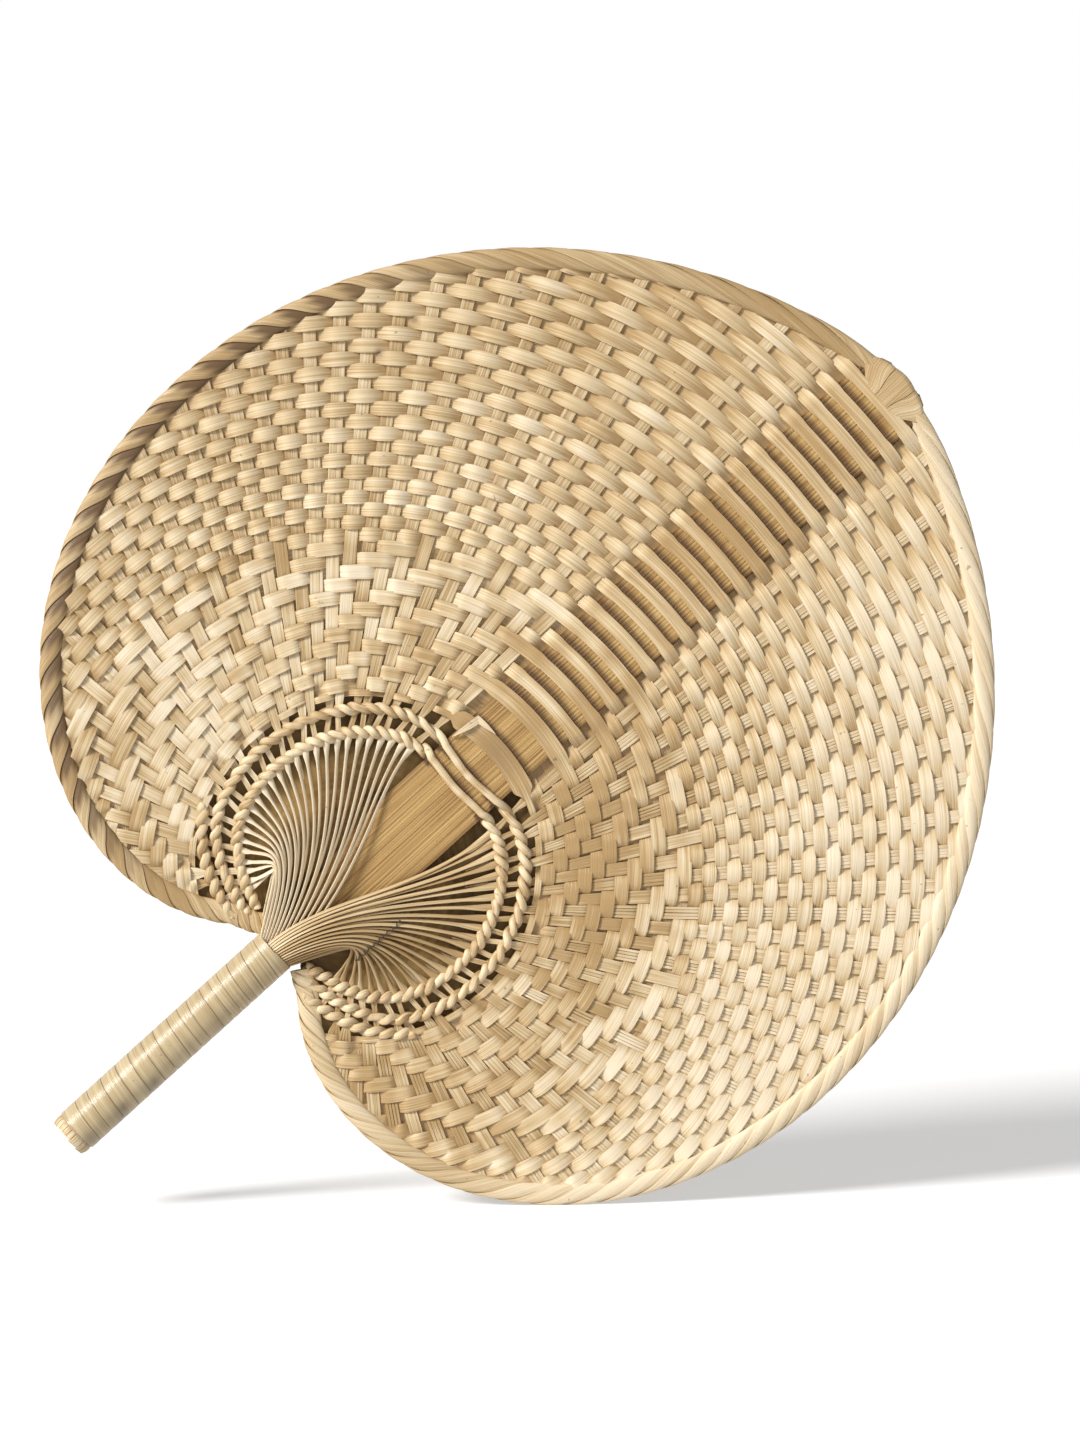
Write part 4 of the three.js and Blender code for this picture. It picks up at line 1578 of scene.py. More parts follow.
@dataclass
class Stakes:
    """The splints that run from the neck through the rings and the rows and fold along the rim."""

    weave: Weave
    slivers: Slivers = field(default_factory=Slivers)
    stitch: PleatStitch = field(default_factory=PleatStitch)
    left: LobeStyle = LobeStyle(
        gap=(0.0, 0.01),
        advance=(2.2, 1.4),
        lap=0.5,
        bow=0.6,
        fold_shade=(-0.55, 0.2),
        heel_folds=4,
        heel_past=4.3,
    )
    right: LobeStyle = LobeStyle(
        gap=(0.0, 0.045),
        advance=(2.2, 1.9),
        lap=0.5,
        bow=0.55,
        fold_shade=(0.3, 1.0),
        heel_folds=2,
        heel_past=2.6,
    )
    thickness: float = 0.34
    step: float = 1.1
    widest: float = 4.4
    cover: float = 0.86
    ring_width: float = 2.3
    pinched_width: float = 1.8
    pinch_run: float = 2.5
    widen_before: float = 0.5
    widen_run: float = 4.5
    splits: int = 4
    split_crown: float = 0.03
    split_stray: float = 0.03
    split_rate: Range = (0.08, 0.16)
    split_rise: float = 0.025
    split_tone: float = 0.4
    behind: float = 2.8
    behind_within: float = 60.5
    behind_run: float = 5.5
    gather_run: float = 8.0
    rim_inset: float = 0.9
    stray: float = 0.22
    stray_rate: float = 0.055
    stray_run: float = 20.0
    fold_inset: float = 3.6
    fold_half_width: float = 3.0
    fold_half_depth: float = 0.95
    advance_settles: float = 12.0
    fold_cover: float = 1.25
    first_count: float = -0.6
    tip_folds: int = 2
    # tuck, tuck_blur, tuck_from, tuck_until and tuck_run place the painted shadow on the left rim folds.
    tuck: Range = (-0.4, 0.5)
    tuck_blur: float = 0.3
    tuck_from: float = 5.0
    tuck_until: float = 30.0
    tuck_run: float = 8.0
    fade_share: float = 0.6
    mottle: float = 0.8
    fold_turn_deg: Range = (-20.0, 338.0)
    fold_steps: int = 48
    seed: int = 300
    seed_apart: int = 50

    def style(self, side: Side) -> LobeStyle:
        """What is special to one lobe."""
        return self.left if side is Side.LEFT else self.right

    def width(self, reach: Array, share: Array, rim_pitch: float) -> Array:
        """A stake's width: flat inside the ring, pinched between the rings, then its full width.

        Args:
            reach: Distances from the eye.
            share: Shares of the way from the ring to the rim.
            rim_pitch: From this stake to the next at the rim.

        Returns:
            The width at each place.
        """
        full = np.minimum(self.widest, self.cover * mix(PLAN.ring_pitch, rim_pitch, share))
        between = ease((reach - PLAN.inner_ring) / self.pinch_run)
        past = ease((reach - PLAN.outer_ring + self.widen_before) / self.widen_run)
        return mix(mix(self.ring_width, self.pinched_width, between), full, past)

    def middle(self, stake: int, side: Side, draw: np.random.Generator) -> tuple[Array, Array, Array]:
        """One stake's middle line from the inner ring to the rim.

        Args:
            stake: The stake's number from the stave.
            side: The lobe.
            draw: The source of its small irregularities.

        Returns:
            Points along it, its width at each and its direction away from the eye.
        """
        ring, rim = (ends[stake] * np.array([1.0, side.value]) for ends in PLAN.stake_ends())
        way = unit(rim - ring)
        woven = float(np.linalg.norm(rim - ring))
        length = woven + PLAN.rim_band / 2.0 - self.rim_inset
        inside = PLAN.inner_ring - float(PLAN.ring_reach(Ring.INNER, PLAN.ring_angle(stake)))
        place = np.linspace(-inside, length, int(length / self.step) + 3)
        rows = np.flatnonzero(np.isfinite(self.weave.share[stake]))
        swing = -self.weave.passes(rows, np.full(len(rows), stake)) * self.weave.stake_lift(rows)
        met = self.weave.share[stake, rows] * woven
        knots = np.concatenate([[-inside - PAST_END], met, [length + PAST_END]])
        z = eased_between(place, knots, np.concatenate([[0.0], swing, [0.0]]))
        beside = np.array([-way[1], way[0]])
        wave = np.sin(place * self.stray_rate + draw.uniform(*WAVE_STARTS))
        bow = self.stray * wave * ease(place / self.stray_run)
        line = ring + way * place[:, None] + beside * bow[:, None]
        reach = PLAN.from_eye(line)
        if self.slivers.goes_behind(stake):
            z = z - self.behind * (1.0 - ease((reach - self.behind_within) / self.behind_run))
        gathered = self.slivers.gather(stake) * PLAN.ring_pitch * side.value
        line = line + beside * (gathered * (1.0 - ease((reach - PLAN.inner_ring) / self.gather_run)))[:, None]
        ends = PLAN.rim_point(PLAN.rim_angle_after(np.array([stake, stake + 1.0])), PLAN.rim_band, 1.0)
        share = np.clip(place / length, 0.0, 1.0)
        width = self.width(reach, share, float(np.linalg.norm(ends[1] - ends[0])))
        return lift_to_3d(line, z), width, np.array([way[0], way[1], 0.0])

    def blades(
        self, line: Array, width: Array, way: Array, gap: float, draw: np.random.Generator
    ) -> list[Array]:
        """The narrow splits that lie side by side in one stake.

        Args:
            line: The stake's middle line.
            width: Its width at each point.
            way: Its direction away from the eye.
            gap: Half the gap between two splits, as a share of half the stake's width.
            draw: The source of their small irregularities.

        Returns:
            For each split, points along and across it.
        """
        beside = np.array([-way[1], way[0], 0.0])
        place = np.arange(len(line)) * self.step
        made = []
        for split in range(self.splits):
            low = -1.0 + 2.0 * split / self.splits + gap
            high = low + 2.0 / self.splits - 2.0 * gap
            wave = np.sin(place * draw.uniform(*self.split_rate) + draw.uniform(*WAVE_STARTS))
            lines = np.array([low, (low + high) / 2.0, high])[None, :]
            across = lines * width[:, None] / 2.0 + (self.split_stray * wave)[:, None]
            rise = np.array([0.0, self.split_crown, 0.0]) + draw.uniform(-self.split_rise, self.split_rise)
            grid = line[:, None, :] + beside * across[..., None]
            grid[..., 2] += rise[None, :] * np.minimum(1.0, width[:, None] / self.widest)
            made.append(grid)
        return made

    def fold_turn(self) -> Array:
        """The turn round the rim at each place along a fold."""
        return np.radians(np.linspace(*self.fold_turn_deg, self.fold_steps))[:, None]

    def rim_fold(self, stake: float, side: Side) -> Array:
        """One splint's turn round the rim, slanting towards the heel and lapping over the next.

        Args:
            stake: The stake that it carries on from.
            side: The lobe.

        Returns:
            Points along and across it.
        """
        style = self.style(side)
        turn = self.fold_turn()
        line = SPLINT_LINES[None, :]
        advance = mix(*style.advance, float(ease(stake / self.advance_settles)))
        count = stake + 0.5 + advance * turn / math.pi + line * self.fold_cover / 2.0
        count = np.clip(count, self.first_count, PLAN.stakes + style.heel_past)
        proud = style.lap * line + style.bow * (1.0 - line**2)
        inset = self.fold_inset + (self.fold_half_width + proud) * np.cos(turn)
        height = (self.fold_half_depth + proud) * np.sin(turn)
        return lift_to_3d(PLAN.rim_point(PLAN.rim_angle_after(count), inset, side.value), height)

    def fold_shadow(self, stake: float, side: Side) -> Array | float:
        """Painted shadow on a rim fold where it comes out from under the last, on the left flank alone.

        Args:
            stake: The stake that it carries on from.
            side: The lobe.

        Returns:
            The darkness along and across it.
        """
        if side is Side.RIGHT:
            return 0.0
        dark_to = mix(*self.tuck, (1.0 + np.cos(self.fold_turn())) / 2.0)
        flank = ease((stake - self.tuck_from) / self.tuck_run)
        flank = flank * (1.0 - ease((stake - self.tuck_until) / self.tuck_run))
        return flank * (1.0 - ease((SPLINT_LINES[None, :] - dark_to) / self.tuck_blur))

    def further_folds(self, side: Side, sector: Sector) -> range:
        """The folds of a sector that no stake of its own carries on to.

        Args:
            side: The lobe.
            sector: The sector.

        Returns:
            The counts of stakes that they stand at.
        """
        further = {
            Sector.TIP: range(-self.tip_folds, 0),
            Sector.FLANK: range(0),
            Sector.HEEL: range(PLAN.stakes, PLAN.stakes + self.style(side).heel_folds),
        }
        return further[sector]

    def sector(self, bench: Bench, side: Side, sector: Sector) -> tuple[Piece, list[Array]]:
        """Makes and dresses the stakes of one sector.

        Args:
            bench: Where they are made.
            side: The lobe.
            sector: The sector.

        Returns:
            The piece, and the middle lines of its slivers in front.
        """
        style = self.style(side)
        seed = self.seed + side.value * self.seed_apart + sector.value
        flat = SplintStack(seed)
        gathered = SplintStack(seed + 1)
        patches = np.random.default_rng(seed + 2)
        fronts = []
        for stake in range(sector.value, sector.value + PLAN.stakes // len(Sector)):
            line, width, way = self.middle(stake, side, flat.draw)
            tone = flat.draw.uniform(*TONES)
            gap = flat.draw.uniform(*style.gap)
            fade = self.fade_share * faded(BLADE_FADES, line) + mottled(line, patches, self.mottle)
            for split in self.blades(line, width, way, gap, flat.draw):
                flat.add(split, tone=mix(tone, flat.draw.uniform(*TONES), self.split_tone) + fade)
            shade = flat.draw.uniform(*style.fold_shade)
            # The rim fold gets painted shadow where it comes out from under the last one.
            flat.add(self.rim_fold(stake, side), tone=shade, deep=self.fold_shadow(stake, side))
            sliver = self.slivers.line(stake, side, line[0], way)
            shade = tone + self.slivers.band(stake, side).shade
            gathered.add(self.slivers.tube(sliver, side), closed=True, tone=shade)
            if not self.slivers.goes_behind(stake):
                fronts.append(sliver)
        for fold in self.further_folds(side, sector):
            flat.add(self.rim_fold(float(fold), side), tone=flat.draw.uniform(*style.fold_shade))
        lobe, third = side.name.lower(), sector.name.lower()
        piece = flat.build(f"splints_{lobe}_{third}")
        bench.thicken(piece, self.thickness)
        bench.join(piece, gathered.build(f"slivers_{lobe}_{third}"))
        return bench.dress(piece, Finish.STAKE, f"{lobe}_stakes_{third}"), fronts

    def build(self, bench: Bench) -> list[Piece]:
        """Makes and dresses the stakes of each sector, and the stitch.

        Args:
            bench: Where they are made.

        Returns:
            The pieces.
        """
        made = []
        stitched = []
        for side in Side:
            for sector in Sector:
                piece, fronts = self.sector(bench, side, sector)
                made.append(piece)
                stitched.extend(fronts if side is Side.RIGHT else [])
        made.append(self.stitch.build(bench, stitched, self.slivers.neck_half_width))
        return made


@dataclass
class EyeRings:
    """Two rings of two twined strands each, which hold the stakes at the eye."""

    slivers: Slivers = field(default_factory=Slivers)
    strand_half_width: float = 1.35
    strand_half_depth: float = 0.95
    swing: float = 1.1
    weave_out: float = 0.95
    over_stave: float = 2.15
    uneven: float = 0.36
    knot_shade: Range = (-0.35, 1.25)
    knot_steps: int = 5
    heel_range_deg: Range = (116.0, 159.0)
    heel_turns: int = 9
    heel_apart: float = 5.2
    heel_half_width: float = 1.5
    end_share: float = 0.02
    steps_per_stake: int = 10
    sides: int = 10
    seed: int = 500

    def strand(self, ring: Ring, phase: float, draw: np.random.Generator) -> Array:
        """The middle line of one strand from the right heel to the left heel.

        Args:
            ring: The ring.
            phase: 0 for the strand in front of the stave, pi for the one behind.
            draw: The source of its small irregularities.

        Returns:
            Points along the strand.
        """
        edge = math.asin(PLAN.stave_half / ring.radius)
        front = [stake for stake in range(PLAN.stakes) if not self.slivers.goes_behind(stake)]
        held = [float(PLAN.ring_angle(stake + self.slivers.gather(stake))) for stake in front]
        pitch = (held[-1] - held[0]) / (len(held) - 1)
        held.extend(np.arange(held[-1] + pitch, math.radians(PLAN.ring_end_deg), pitch))
        held.append(held[-1] + pitch)
        knots = np.concatenate([[0.0, edge], held])
        counts = np.concatenate([[0.0, 0.0], np.arange(1.0, len(held) + 1.0)])
        halves = []
        for side in (Side.RIGHT, Side.LEFT):
            longer = ring is Ring.INNER and side is Side.RIGHT
            angle = np.linspace(0.0, held[-1 if longer else -2], len(held) * self.steps_per_stake)
            count = np.interp(angle, knots, counts)
            jitter = 1.0 + self.uneven * uneven(draw, len(counts) + 1)
            fullness = np.interp(count, np.arange(len(jitter)), jitter)
            clear = mix(self.over_stave, self.swing * fullness, ease(count))
            height = clear * np.cos(math.pi * count + phase)
            out = self.weave_out * np.sin(math.pi * count + phase) * fullness
            reach = PLAN.ring_reach(ring, angle) + out
            halves.append(lift_to_3d(PLAN.polar(reach, angle, side.value), height))
        return np.concatenate([halves[0][:0:-1], halves[1]])

    def heel_strand(self, side: Side, phase: float) -> Array:
        """The middle line of one of the short strands that fill a heel outside the outer ring.

        Args:
            side: The lobe.
            phase: 0 or pi for the two strands that twine.

        Returns:
            Points along the strand.
        """
        start, end = (math.radians(value) for value in self.heel_range_deg)
        angle = np.linspace(start, end, self.heel_turns * self.steps_per_stake)
        twine = math.pi * np.linspace(0.0, self.heel_turns, len(angle)) + phase
        reach = PLAN.ring_reach(Ring.OUTER, angle) + self.heel_apart + self.weave_out * np.sin(twine)
        return lift_to_3d(PLAN.polar(reach, angle, side.value), self.swing * np.cos(twine))

    def tube(self, line: Array, half_width: float) -> Array:
        """A strand's points, drawn in to a point at both ends.

        Args:
            line: Its middle line.
            half_width: Half its width.

        Returns:
            Points along it and round it.
        """
        along, across = directions(line)
        taper = np.ones((len(line), 1))
        taper[[0, -1]] = self.end_share
        up = np.cross(along, across) * self.strand_half_depth
        return round_line(line, across * half_width * taper, up * taper, self.sides)

    def knot_tones(self, count: int, draw: np.random.Generator) -> Array:
        """Tones along a strand that change from knot to knot.

        Args:
            count: How many points it has.
            draw: The source of the tones.

        Returns:
            The tone at each point.
        """
        shades = draw.uniform(*self.knot_shade, count // self.knot_steps)
        return np.interp(np.linspace(0.0, len(shades) - 1.0, count), np.arange(len(shades)), shades)

    def build(self, bench: Bench) -> list[Piece]:
        """Makes and dresses both rings.

        Args:
            bench: Where they are made.

        Returns:
            The pieces.
        """
        made = []
        for index, ring in enumerate(Ring):
            name = f"{ring.name.lower()}_ring"
            stack = SplintStack(self.seed + index)
            for phase in (0.0, math.pi):
                line = self.strand(ring, phase, stack.draw)
                tone = self.knot_tones(len(line), stack.draw)
                stack.add(self.tube(line, self.strand_half_width), closed=True, tone=tone)
                for side in Side if ring is Ring.OUTER else ():
                    stack.add(self.tube(self.heel_strand(side, phase), self.heel_half_width), closed=True)
            made.append(bench.dress(stack.build(f"twined_{name}"), Finish.RING, name))
        return made


@dataclass
class Stave:
    """The split bamboo slat up the middle, with the folds over its end."""

    open_rows: int = 30
    open_until: float = 36.0
    covered_step: float = 1.0
    across: int = 97
    crown: float = 0.3
    edge_round: float = 0.3
    ridge_pitch: float = 1.3
    ridge_middle: float = 0.6
    ridge_run: float = 90.0
    eye_ridge: float = 0.02
    tip_ridge: float = 0.24
    # covered_tone: the slat's lower tone under the rows is painted shade.
    open_tone: float = 0.5
    covered_tone: float = 0.4
    tone_run: float = 12.0
    strip_edges: tuple[float, ...] = ()
    # strip_shadow: how far under each edge, how far past it fully dark, and over what run the painted shadow
    # fades.
    strip_shadow: tuple[float, float, float] = (0.8, 0.7, 2.6)
    ring_half: float = 1.0
    folds: int = 3
    fold_inner_width: float = 6.1
    fold_outer_width: float = 9.7
    fold_gap: float = 0.2
    fold_leg: float = 11.0
    fold_height: float = 2.05
    fold_thickness: float = 0.5
    fold_steps: int = 44
    fold_shades: tuple[float, ...] = (0.0, -0.4, -0.1)
    cap_proud: float = 1.4
    cap_slope: float = 0.4
    cap_round: float = 4.6
    strip_round: float = 0.35
    seed: int = 600

    def half_width(self, x: Array) -> Array:
        """Half the slat's width, with its tang and its rounded end.

        Args:
            x: Places along it.

        Returns:
            Half its width at each.
        """
        flare = mix(PLAN.tang_half, PLAN.stave_half, np.clip((x - PLAN.neck) / PLAN.stave_flare, 0.0, 1.0))
        corner = PLAN.stave_end_corner
        into = np.clip(x - (PLAN.stave_end - corner), 0.0, corner)
        return flare - corner + np.sqrt(np.maximum(corner * corner - into * into, 0.0))

    def shadows(self, grid: Array) -> Array:
        """How dark the painted shadow lies on the slat beyond the outer edge of each ring and strip that
        crosses it.

        Args:
            grid: Points of the slat.

        Returns:
            The darkness at each.
        """
        under, full, run = self.strip_shadow
        reach = PLAN.from_eye(grid)
        rings = [float(PLAN.ring_reach(ring, np.array(0.0))) + self.ring_half for ring in Ring]
        dark = np.zeros_like(reach)
        for edge in (*rings, *self.strip_edges):
            past = reach - edge
            falling = 1.0 - ease((past - full) / run)
            dark = np.maximum(dark, np.where((past > -under) & (grid[..., 0] > PLAN.eye), falling, 0.0))
        return dark

    def slat(self, bench: Bench) -> Piece:
        """Makes the slat from a grid laid to its outline.

        Args:
            bench: Where it is made.

        Returns:
            The slat.
        """
        covered = PLAN.eye + self.open_until
        open_x = np.linspace(-PLAN.neck + PLAN.clearance, covered, self.open_rows, endpoint=False)
        covered_rows = int((PLAN.stave_end - covered) / self.covered_step)
        x = np.concatenate([open_x, np.linspace(covered, PLAN.stave_end, covered_rows)])
        across = np.linspace(-1.0, 1.0, self.across)
        y = self.half_width(x)[:, None] * across[None, :]
        past_ring = x - PLAN.eye - PLAN.inner_ring
        ridge = mix(self.eye_ridge, self.tip_ridge, ease(past_ring / self.ridge_run))[:, None]
        ridges = ridge * (np.abs(np.cos(math.pi * y / self.ridge_pitch)) - self.ridge_middle)
        z = self.crown * (1.0 - across[None, :] ** 2) + ridges
        # Painted shade: the slat is darker where the rows cover it.
        under_rows = ease((x - PLAN.eye - PLAN.outer_ring) / self.tone_run)
        tone = mix(self.open_tone, self.covered_tone, under_rows)
        lengths = np.repeat(x[:, None], self.across, axis=1)
        grid = np.stack([lengths, y, z - self.crown / 2.0], axis=-1)
        stack = SplintStack(self.seed)
        # The slat gets painted shadow beside each strip and ring that crosses it.
        stack.add(grid, tone=tone, deep=self.shadows(grid))
        piece = stack.build("stave_slat")
        bench.thicken(piece, PLAN.stave_thickness - self.crown)
        bench.soften(piece, self.edge_round)
        return bench.dress(piece, Finish.STAVE, "stave")

    def end_fold(self, fold: int) -> Array:
        """One strip folded over the slat's end, wider where it turns.

        Args:
            fold: The strip's number from the right.

        Returns:
            Points along and across it, from the front to the back.
        """
        line = SPLINT_LINES[None, :]
        order = fold - (self.folds - 1) / 2.0
        widths = (self.fold_inner_width, self.fold_outer_width)
        inner, outer = (order * width + line * (width - self.fold_gap) / 2.0 for width in widths)
        half_cap = self.folds * self.fold_outer_width / 2.0
        aside = (outer / half_cap) ** 2
        height = self.fold_height * (1.0 - self.cap_slope * aside)
        turned_at = PLAN.stave_end + self.cap_proud - height - self.cap_round * aside
        turned_at = turned_at - self.strip_round * line**2
        start = PLAN.stave_end - self.fold_leg
        leg = np.linspace(0.0, 1.0, self.fold_steps // 4, endpoint=False)[:, None]
        turn = np.linspace(math.pi / 2.0, -math.pi / 2.0, self.fold_steps // 2)[:, None]
        front_x = mix(start, turned_at, leg)
        x = np.concatenate([front_x, turned_at + height * np.cos(turn), front_x[::-1]])
        spread = ease(np.clip((x - start) / (turned_at - start), 0.0, 1.0))
        flat = height * np.ones_like(leg)
        z = np.concatenate([flat, height * np.sin(turn), -flat])
        return np.stack([x, mix(inner, outer, spread), z], axis=-1)

    def build(self, bench: Bench) -> list[Piece]:
        """Makes and dresses the slat and the folds over its end.

        Args:
            bench: Where they are made.

        Returns:
            The pieces.
        """
        made = [self.slat(bench)]
        for fold in range(self.folds):
            stack = SplintStack(self.seed + 1 + fold)
            stack.add(self.end_fold(fold), tone=self.fold_shades[fold])
            piece = stack.build(f"end_fold_{fold + 1}")
            bench.thicken(piece, self.fold_thickness)
            made.append(bench.dress(piece, Finish.ROW, f"tip_fold_{fold + 1}"))
        return made


@dataclass
class Handle:
    """The bundle of slivers in the grip, and the flat strip wound round it."""

    turns: int = 17
    butt_proud: float = 4.0
    top_past_neck: float = 1.4
    strip_thickness: float = 0.6
    strip_middle_radius: float = 7.55
    strip_crown: float = 0.1
    strip_crown_power: int = 3
    strip_tone: float = 0.5
    seam: float = 0.14
    seam_share: float = 0.2
    narrowest: float = 0.06
    uneven: float = 0.3
    uneven_limit: float = 1.5
    steps_per_turn: int = 44
    end_slivers: int = 24
    end_steps: int = 16
    end_radius: float = 7.2
    under_radius: float = 6.75
    under_run: float = 1.2
    end_width: float = 1.7
    end_thickness: float = 0.8
    end_stagger: float = 0.7
    end_rounding: float = 0.5
    end_rounding_run: float = 1.5
    pith: tuple[tuple[float, float], ...] = ((0.7, 0.02), (0.71, 5.9), (1.2, 6.4), (93.0, 6.4), (93.01, 0.02))
    pith_sides: int = 40
    pith_tone: float = 0.2
    seed: int = 700

    def wrap(self, bench: Bench) -> Piece:
        """Makes the strip as one ribbon, wound with uneven seams.

        Args:
            bench: Where it is made.

        Returns:
            The strip.
        """
        stack = SplintStack(self.seed)
        low = -PLAN.neck + self.butt_proud
        high = PLAN.neck + self.top_past_neck
        widths = 1.0 + self.uneven * uneven(stack.draw, self.turns, self.uneven_limit)
        seams = low + (high - low) * np.concatenate([[0.0], np.cumsum(widths) / widths.sum()])
        places = np.concatenate([[low], seams, [high]])
        counts = np.arange(-1.0, self.turns + 2.0)
        count = np.linspace(-1.0, self.turns, (self.turns + 1) * self.steps_per_turn + 1)
        under = np.interp(count, counts, places)
        over = np.maximum(np.interp(count + 1.0, counts, places), under + self.narrowest)
        line = SPLINT_LINES[None, :]
        gap = np.minimum(self.seam, self.seam_share * (over - under))[:, None]
        x = mix(under[:, None] + gap / 2.0, over[:, None] - gap / 2.0, (line + 1.0) / 2.0)
        crown = self.strip_crown * (1.0 - np.abs(line) ** self.strip_crown_power)
        grid = about_grip(x, self.strip_middle_radius + crown, FULL_TURN * count[:, None])
        stack.add(grid, tone=self.strip_tone, deep=faded(HANDLE_STAINS, grid))
        piece = stack.build("wound_strip")
        bench.thicken(piece, self.strip_thickness)
        return bench.dress(piece, Finish.WRAP, "handle_wrap")

    def core(self, bench: Bench) -> Piece:
        """Makes the bundle, with its sliver ends showing at the butt.

        Args:
            bench: Where it is made.

        Returns:
            The bundle.
        """
        butt = -PLAN.neck
        stack = SplintStack(self.seed + 1)
        for index in range(self.end_slivers):
            turn = FULL_TURN * (index + 0.5) / self.end_slivers
            low = butt + stack.draw.uniform(0.0, self.end_stagger)
            x = np.linspace(low, butt + 2.0 * self.butt_proud, self.end_steps)
            around = turn + SPLINT_LINES * self.end_width / 2.0 / self.end_radius
            tuck = self.end_rounding * ease((low + self.end_rounding_run - x) / self.end_rounding_run)
            under = ease((x - butt - self.butt_proud + self.under_run) / self.under_run)
            radius = mix(self.end_radius, self.under_radius, under) - tuck
            stack.add(about_grip(x[:, None], radius[:, None], around))
        piece = stack.build("sliver_bundle")
        bench.thicken(piece, self.end_thickness)
        filling = SplintStack(self.seed + 2)
        place, radius = np.array(self.pith).T[..., None]
        turn = np.linspace(0.0, FULL_TURN, self.pith_sides, endpoint=False)
        filling.add(about_grip(butt + place, radius, turn), closed=True, tone=self.pith_tone)
        bench.join(piece, filling.build("pith"))
        return bench.dress(piece, Finish.STAKE, "handle_core")

    def build(self, bench: Bench) -> list[Piece]:
        """Makes and dresses the bundle and its winding."""
        return [self.core(bench), self.wrap(bench)]


@dataclass
class EyeLining:
    """The dry leaf behind the slivers of the eye, carried out under the rings as a dark backing that stands
    in for shade in their gaps.
    """

    # reach takes the leaf out under the rings: a dark sheet that stands in for shade in the gaps between
    # them.
    reach: float = 60.0
    inside_rim: float = 5.0
    open_deg: float = 166.0
    around: int = 130
    inward: int = 26
    inward_share: float = 0.93
    past_neck: float = 20.0
    outer_depth: float = 2.1
    inner_depth: float = 3.3
    heel_depth: float = 2.1
    heel_from_deg: float = 95.0
    heel_run_deg: float = 30.0
    stave_depth: float = 3.6
    stave_run: float = 8.0
    ripple: float = 0.25
    ripple_rise: float = 8.0
    ripple_waves: tuple[Range, Range] = ((9.0, 5.0), (3.0, -7.0))
    thickness: float = 0.3
    tone: float = 0.5
    seed: int = 800

    def build(self, bench: Bench) -> list[Piece]:
        """Makes and dresses the leaf.

        Args:
            bench: Where it is made.

        Returns:
            The leaf alone.
        """
        angle = np.radians(np.linspace(-self.open_deg, self.open_deg, self.around))[:, None]
        share = np.linspace(0.0, self.inward_share, self.inward)[None, :, None]
        reach = np.minimum(self.reach, PLAN.rim_reach(np.abs(angle)) - self.inside_rim)
        edge = lift_to_3d(PLAN.polar(reach, angle), 0.0)
        inner = np.array([PLAN.neck + self.past_neck, 0.0, 0.0])
        grid = mix(edge, inner, share)
        inward = share[..., 0]
        heel = ease((np.degrees(np.abs(angle)) - self.heel_from_deg) / self.heel_run_deg)
        first, second = (np.sin(turning * angle + going * inward) for turning, going in self.ripple_waves)
        depth = mix(self.outer_depth, mix(self.inner_depth, self.heel_depth, heel), inward)
        ripple = self.ripple * (1.0 + first * second) * ease(self.ripple_rise * inward)
        depth = depth + ripple * (1.0 - heel)
        clear = 1.0 - ease((np.abs(grid[..., 1]) - PLAN.stave_half) / self.stave_run)
        clear = clear * ease((grid[..., 0] - PLAN.eye) / self.stave_run)
        grid[..., 2] = -mix(depth, np.maximum(depth, self.stave_depth), clear)
        stack = SplintStack(self.seed)
        stack.add(grid, tone=self.tone + faded(LINING_FADES, grid))
        piece = stack.build("eye_leaf")
        bench.thicken(piece, self.thickness)
        return [bench.dress(piece, Finish.LINING, "eye_lining")]


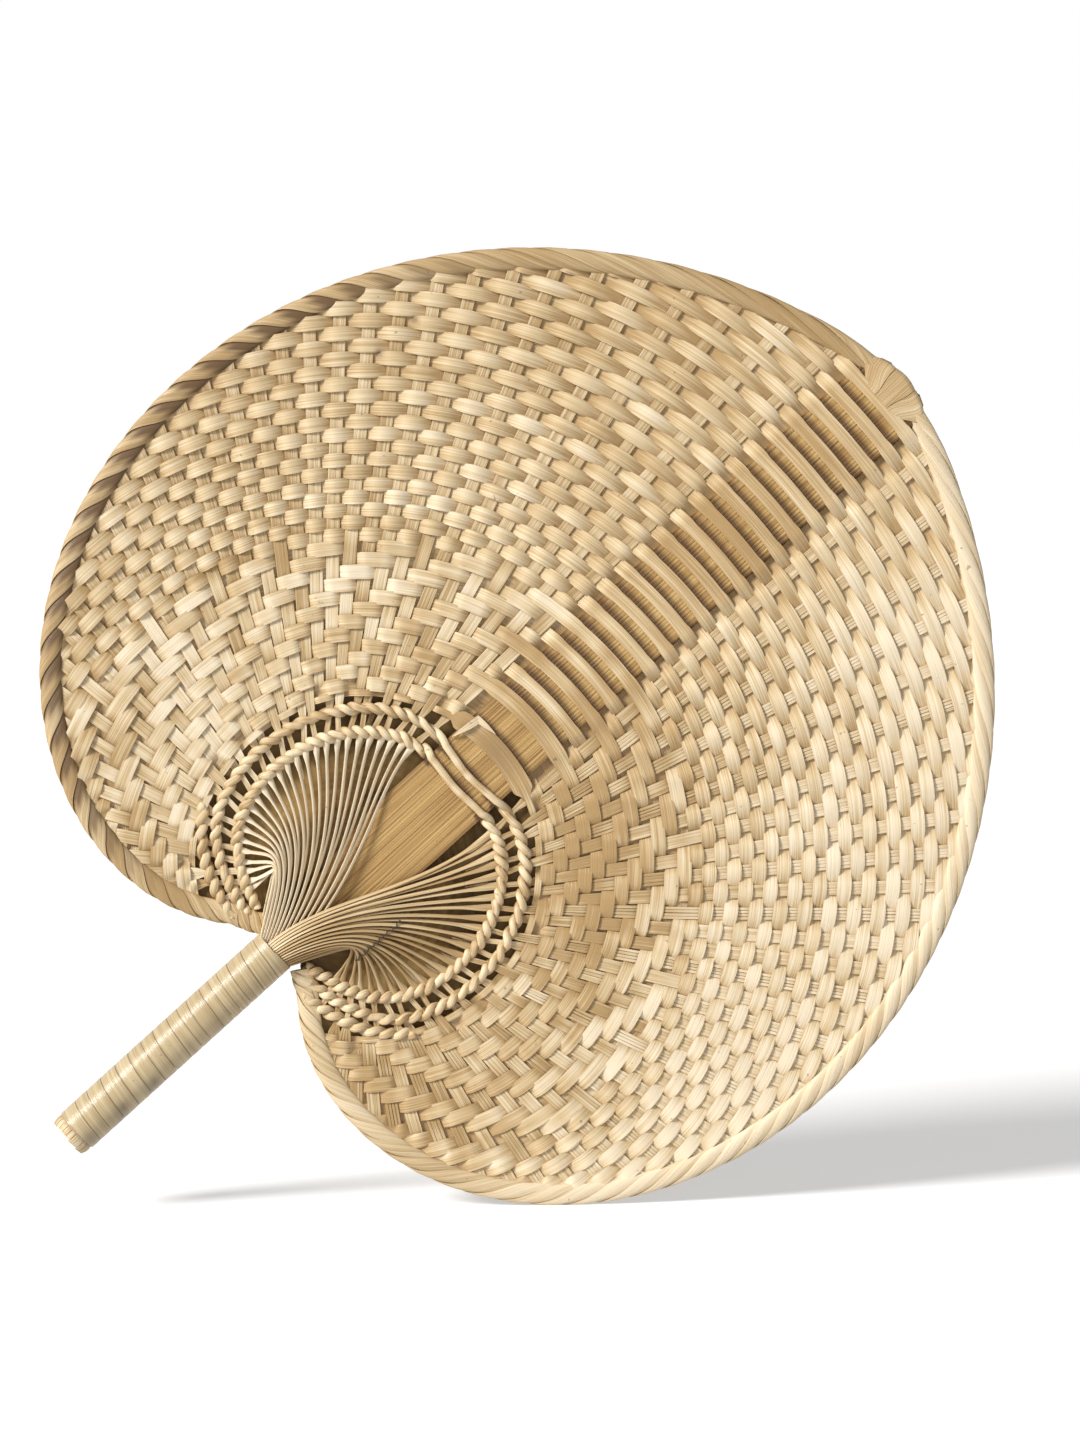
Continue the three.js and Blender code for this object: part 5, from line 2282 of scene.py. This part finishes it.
@dataclass
class Studio:
    """The camera of the photograph's view, the light and the pale floor."""

    distance: float = 1.5
    azimuth_deg: float = -4.8
    elevation_deg: float = 4.0
    target: tuple[float, float, float] = (0.1271, 0.0, 0.1110)
    lens: float = 109.3
    sensor: float = 36.0
    sees_to: float = 100.0
    sun_from: tuple[float, float, float] = (-0.72, -0.48, 0.5)
    sun_colour: Colour = (1.0, 0.985, 0.96)
    sun_strength: float = 4.0
    sun_angle_deg: float = 18.0
    ambient: float = 0.3
    floor_albedo: float = 0.8
    floor_glow: float = 0.36
    floor_half: float = 30.0

    def camera(self) -> None:
        """Places the camera."""
        turn = math.radians(self.azimuth_deg)
        rise = math.radians(self.elevation_deg)
        view = Vector((-math.sin(turn) * math.cos(rise), math.cos(turn) * math.cos(rise), -math.sin(rise)))
        data = bpy.data.cameras.new("camera")
        data.sensor_fit = "VERTICAL"
        data.sensor_height = self.sensor
        data.lens = self.lens
        data.clip_end = self.sees_to
        holder = bpy.data.objects.new("camera", data)
        holder.location = Vector(self.target) - view * self.distance
        holder.rotation_euler = view.to_track_quat("-Z", "Y").to_euler()
        bpy.context.scene.collection.objects.link(holder)
        bpy.context.scene.camera = holder

    @staticmethod
    def seen_directly(book: NodeBook) -> Socket:
        """Which rays see a surface and which are only lit by it.

        Args:
            book: The nodes to add to.

        Returns:
            1 for camera, glossy and transmission rays, 0 for the rays that light things.
        """
        path = book.add("ShaderNodeLightPath").outputs
        mirrored = book.maths("MAXIMUM", path["Is Glossy Ray"], path["Is Transmission Ray"])
        return book.maths("MAXIMUM", path["Is Camera Ray"], mirrored)

    def lights(self) -> None:
        """Makes the sun and a white world that lights softly."""
        data = bpy.data.lights.new("key_light", "SUN")
        data.energy = self.sun_strength
        data.angle = math.radians(self.sun_angle_deg)
        data.color = self.sun_colour
        lamp = bpy.data.objects.new("key_light", data)
        lamp.rotation_euler = Vector(self.sun_from).to_track_quat("Z", "Y").to_euler()
        bpy.context.scene.collection.objects.link(lamp)
        world = bpy.data.worlds.new("studio")
        bpy.context.scene.world = world
        world.use_nodes = True
        book = NodeBook(world.node_tree)
        soft = book.add("ShaderNodeBackground", {"Color": WHITE, "Strength": self.ambient}).outputs[0]
        white = book.add("ShaderNodeBackground", {"Color": WHITE}).outputs[0]
        chosen = book.add("ShaderNodeMixShader", {0: self.seen_directly(book), 1: soft, 2: white})
        book.add("ShaderNodeOutputWorld", {0: chosen.outputs[0]})

    def floor(self, height: float) -> None:
        """Lays the pale floor under the fan.

        Args:
            height: How high it lies.
        """
        bpy.ops.object.select_all(action="DESELECT")
        bpy.ops.mesh.primitive_plane_add(size=2.0 * self.floor_half, location=(0.0, 0.0, height))
        floor = bpy.context.object
        floor.name = "floor"
        made = bpy.data.materials.new("pale_floor")
        made.use_nodes = True
        book = NodeBook(made.node_tree)
        matt = book.add("ShaderNodeBsdfDiffuse", {"Color": (self.floor_albedo,) * 3}).outputs[0]
        glow = book.maths("MULTIPLY", self.seen_directly(book), self.floor_glow)
        lit = book.add("ShaderNodeEmission", {"Strength": glow}).outputs[0]
        both = book.add("ShaderNodeAddShader", {0: matt, 1: lit})
        book.add("ShaderNodeOutputMaterial", {0: both.outputs[0]})
        floor.data.materials.append(made)
        floor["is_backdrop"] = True

    def build(self, lowest: float) -> None:
        """Makes the camera, the lights and the floor.

        Args:
            lowest: The height of the fan's lowest point.
        """
        self.camera()
        self.lights()
        self.floor(lowest)
        bpy.context.scene.view_settings.view_transform = "Standard"


def plain_box(corners: tuple) -> list[list[float]]:
    """A box's two corners as plain lists of numbers."""
    return [[float(value) for value in corner] for corner in corners]


def main() -> None:
    """Builds the fan's pieces in order, then the studio with its floor at their lowest point."""
    logging.basicConfig(level=logging.INFO, format="%(name)s: %(message)s")
    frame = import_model()
    log.info("frame of %d solids", len(frame["nodes"]))
    bench = Bench()
    weave = Weave()
    rows = WovenRows(weave)
    stave = Stave(strip_edges=rows.strip_edges())
    for assembly in (stave, Handle(), EyeLining(), EyeRings(), Stakes(weave), rows):
        made = assembly.build(bench)
        log.info("%s: %d pieces", type(assembly).__name__, len(made))
    dressed_box = plain_box(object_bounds())
    Studio().build(dressed_box[0][2])


if __name__ == "__main__":
    main()
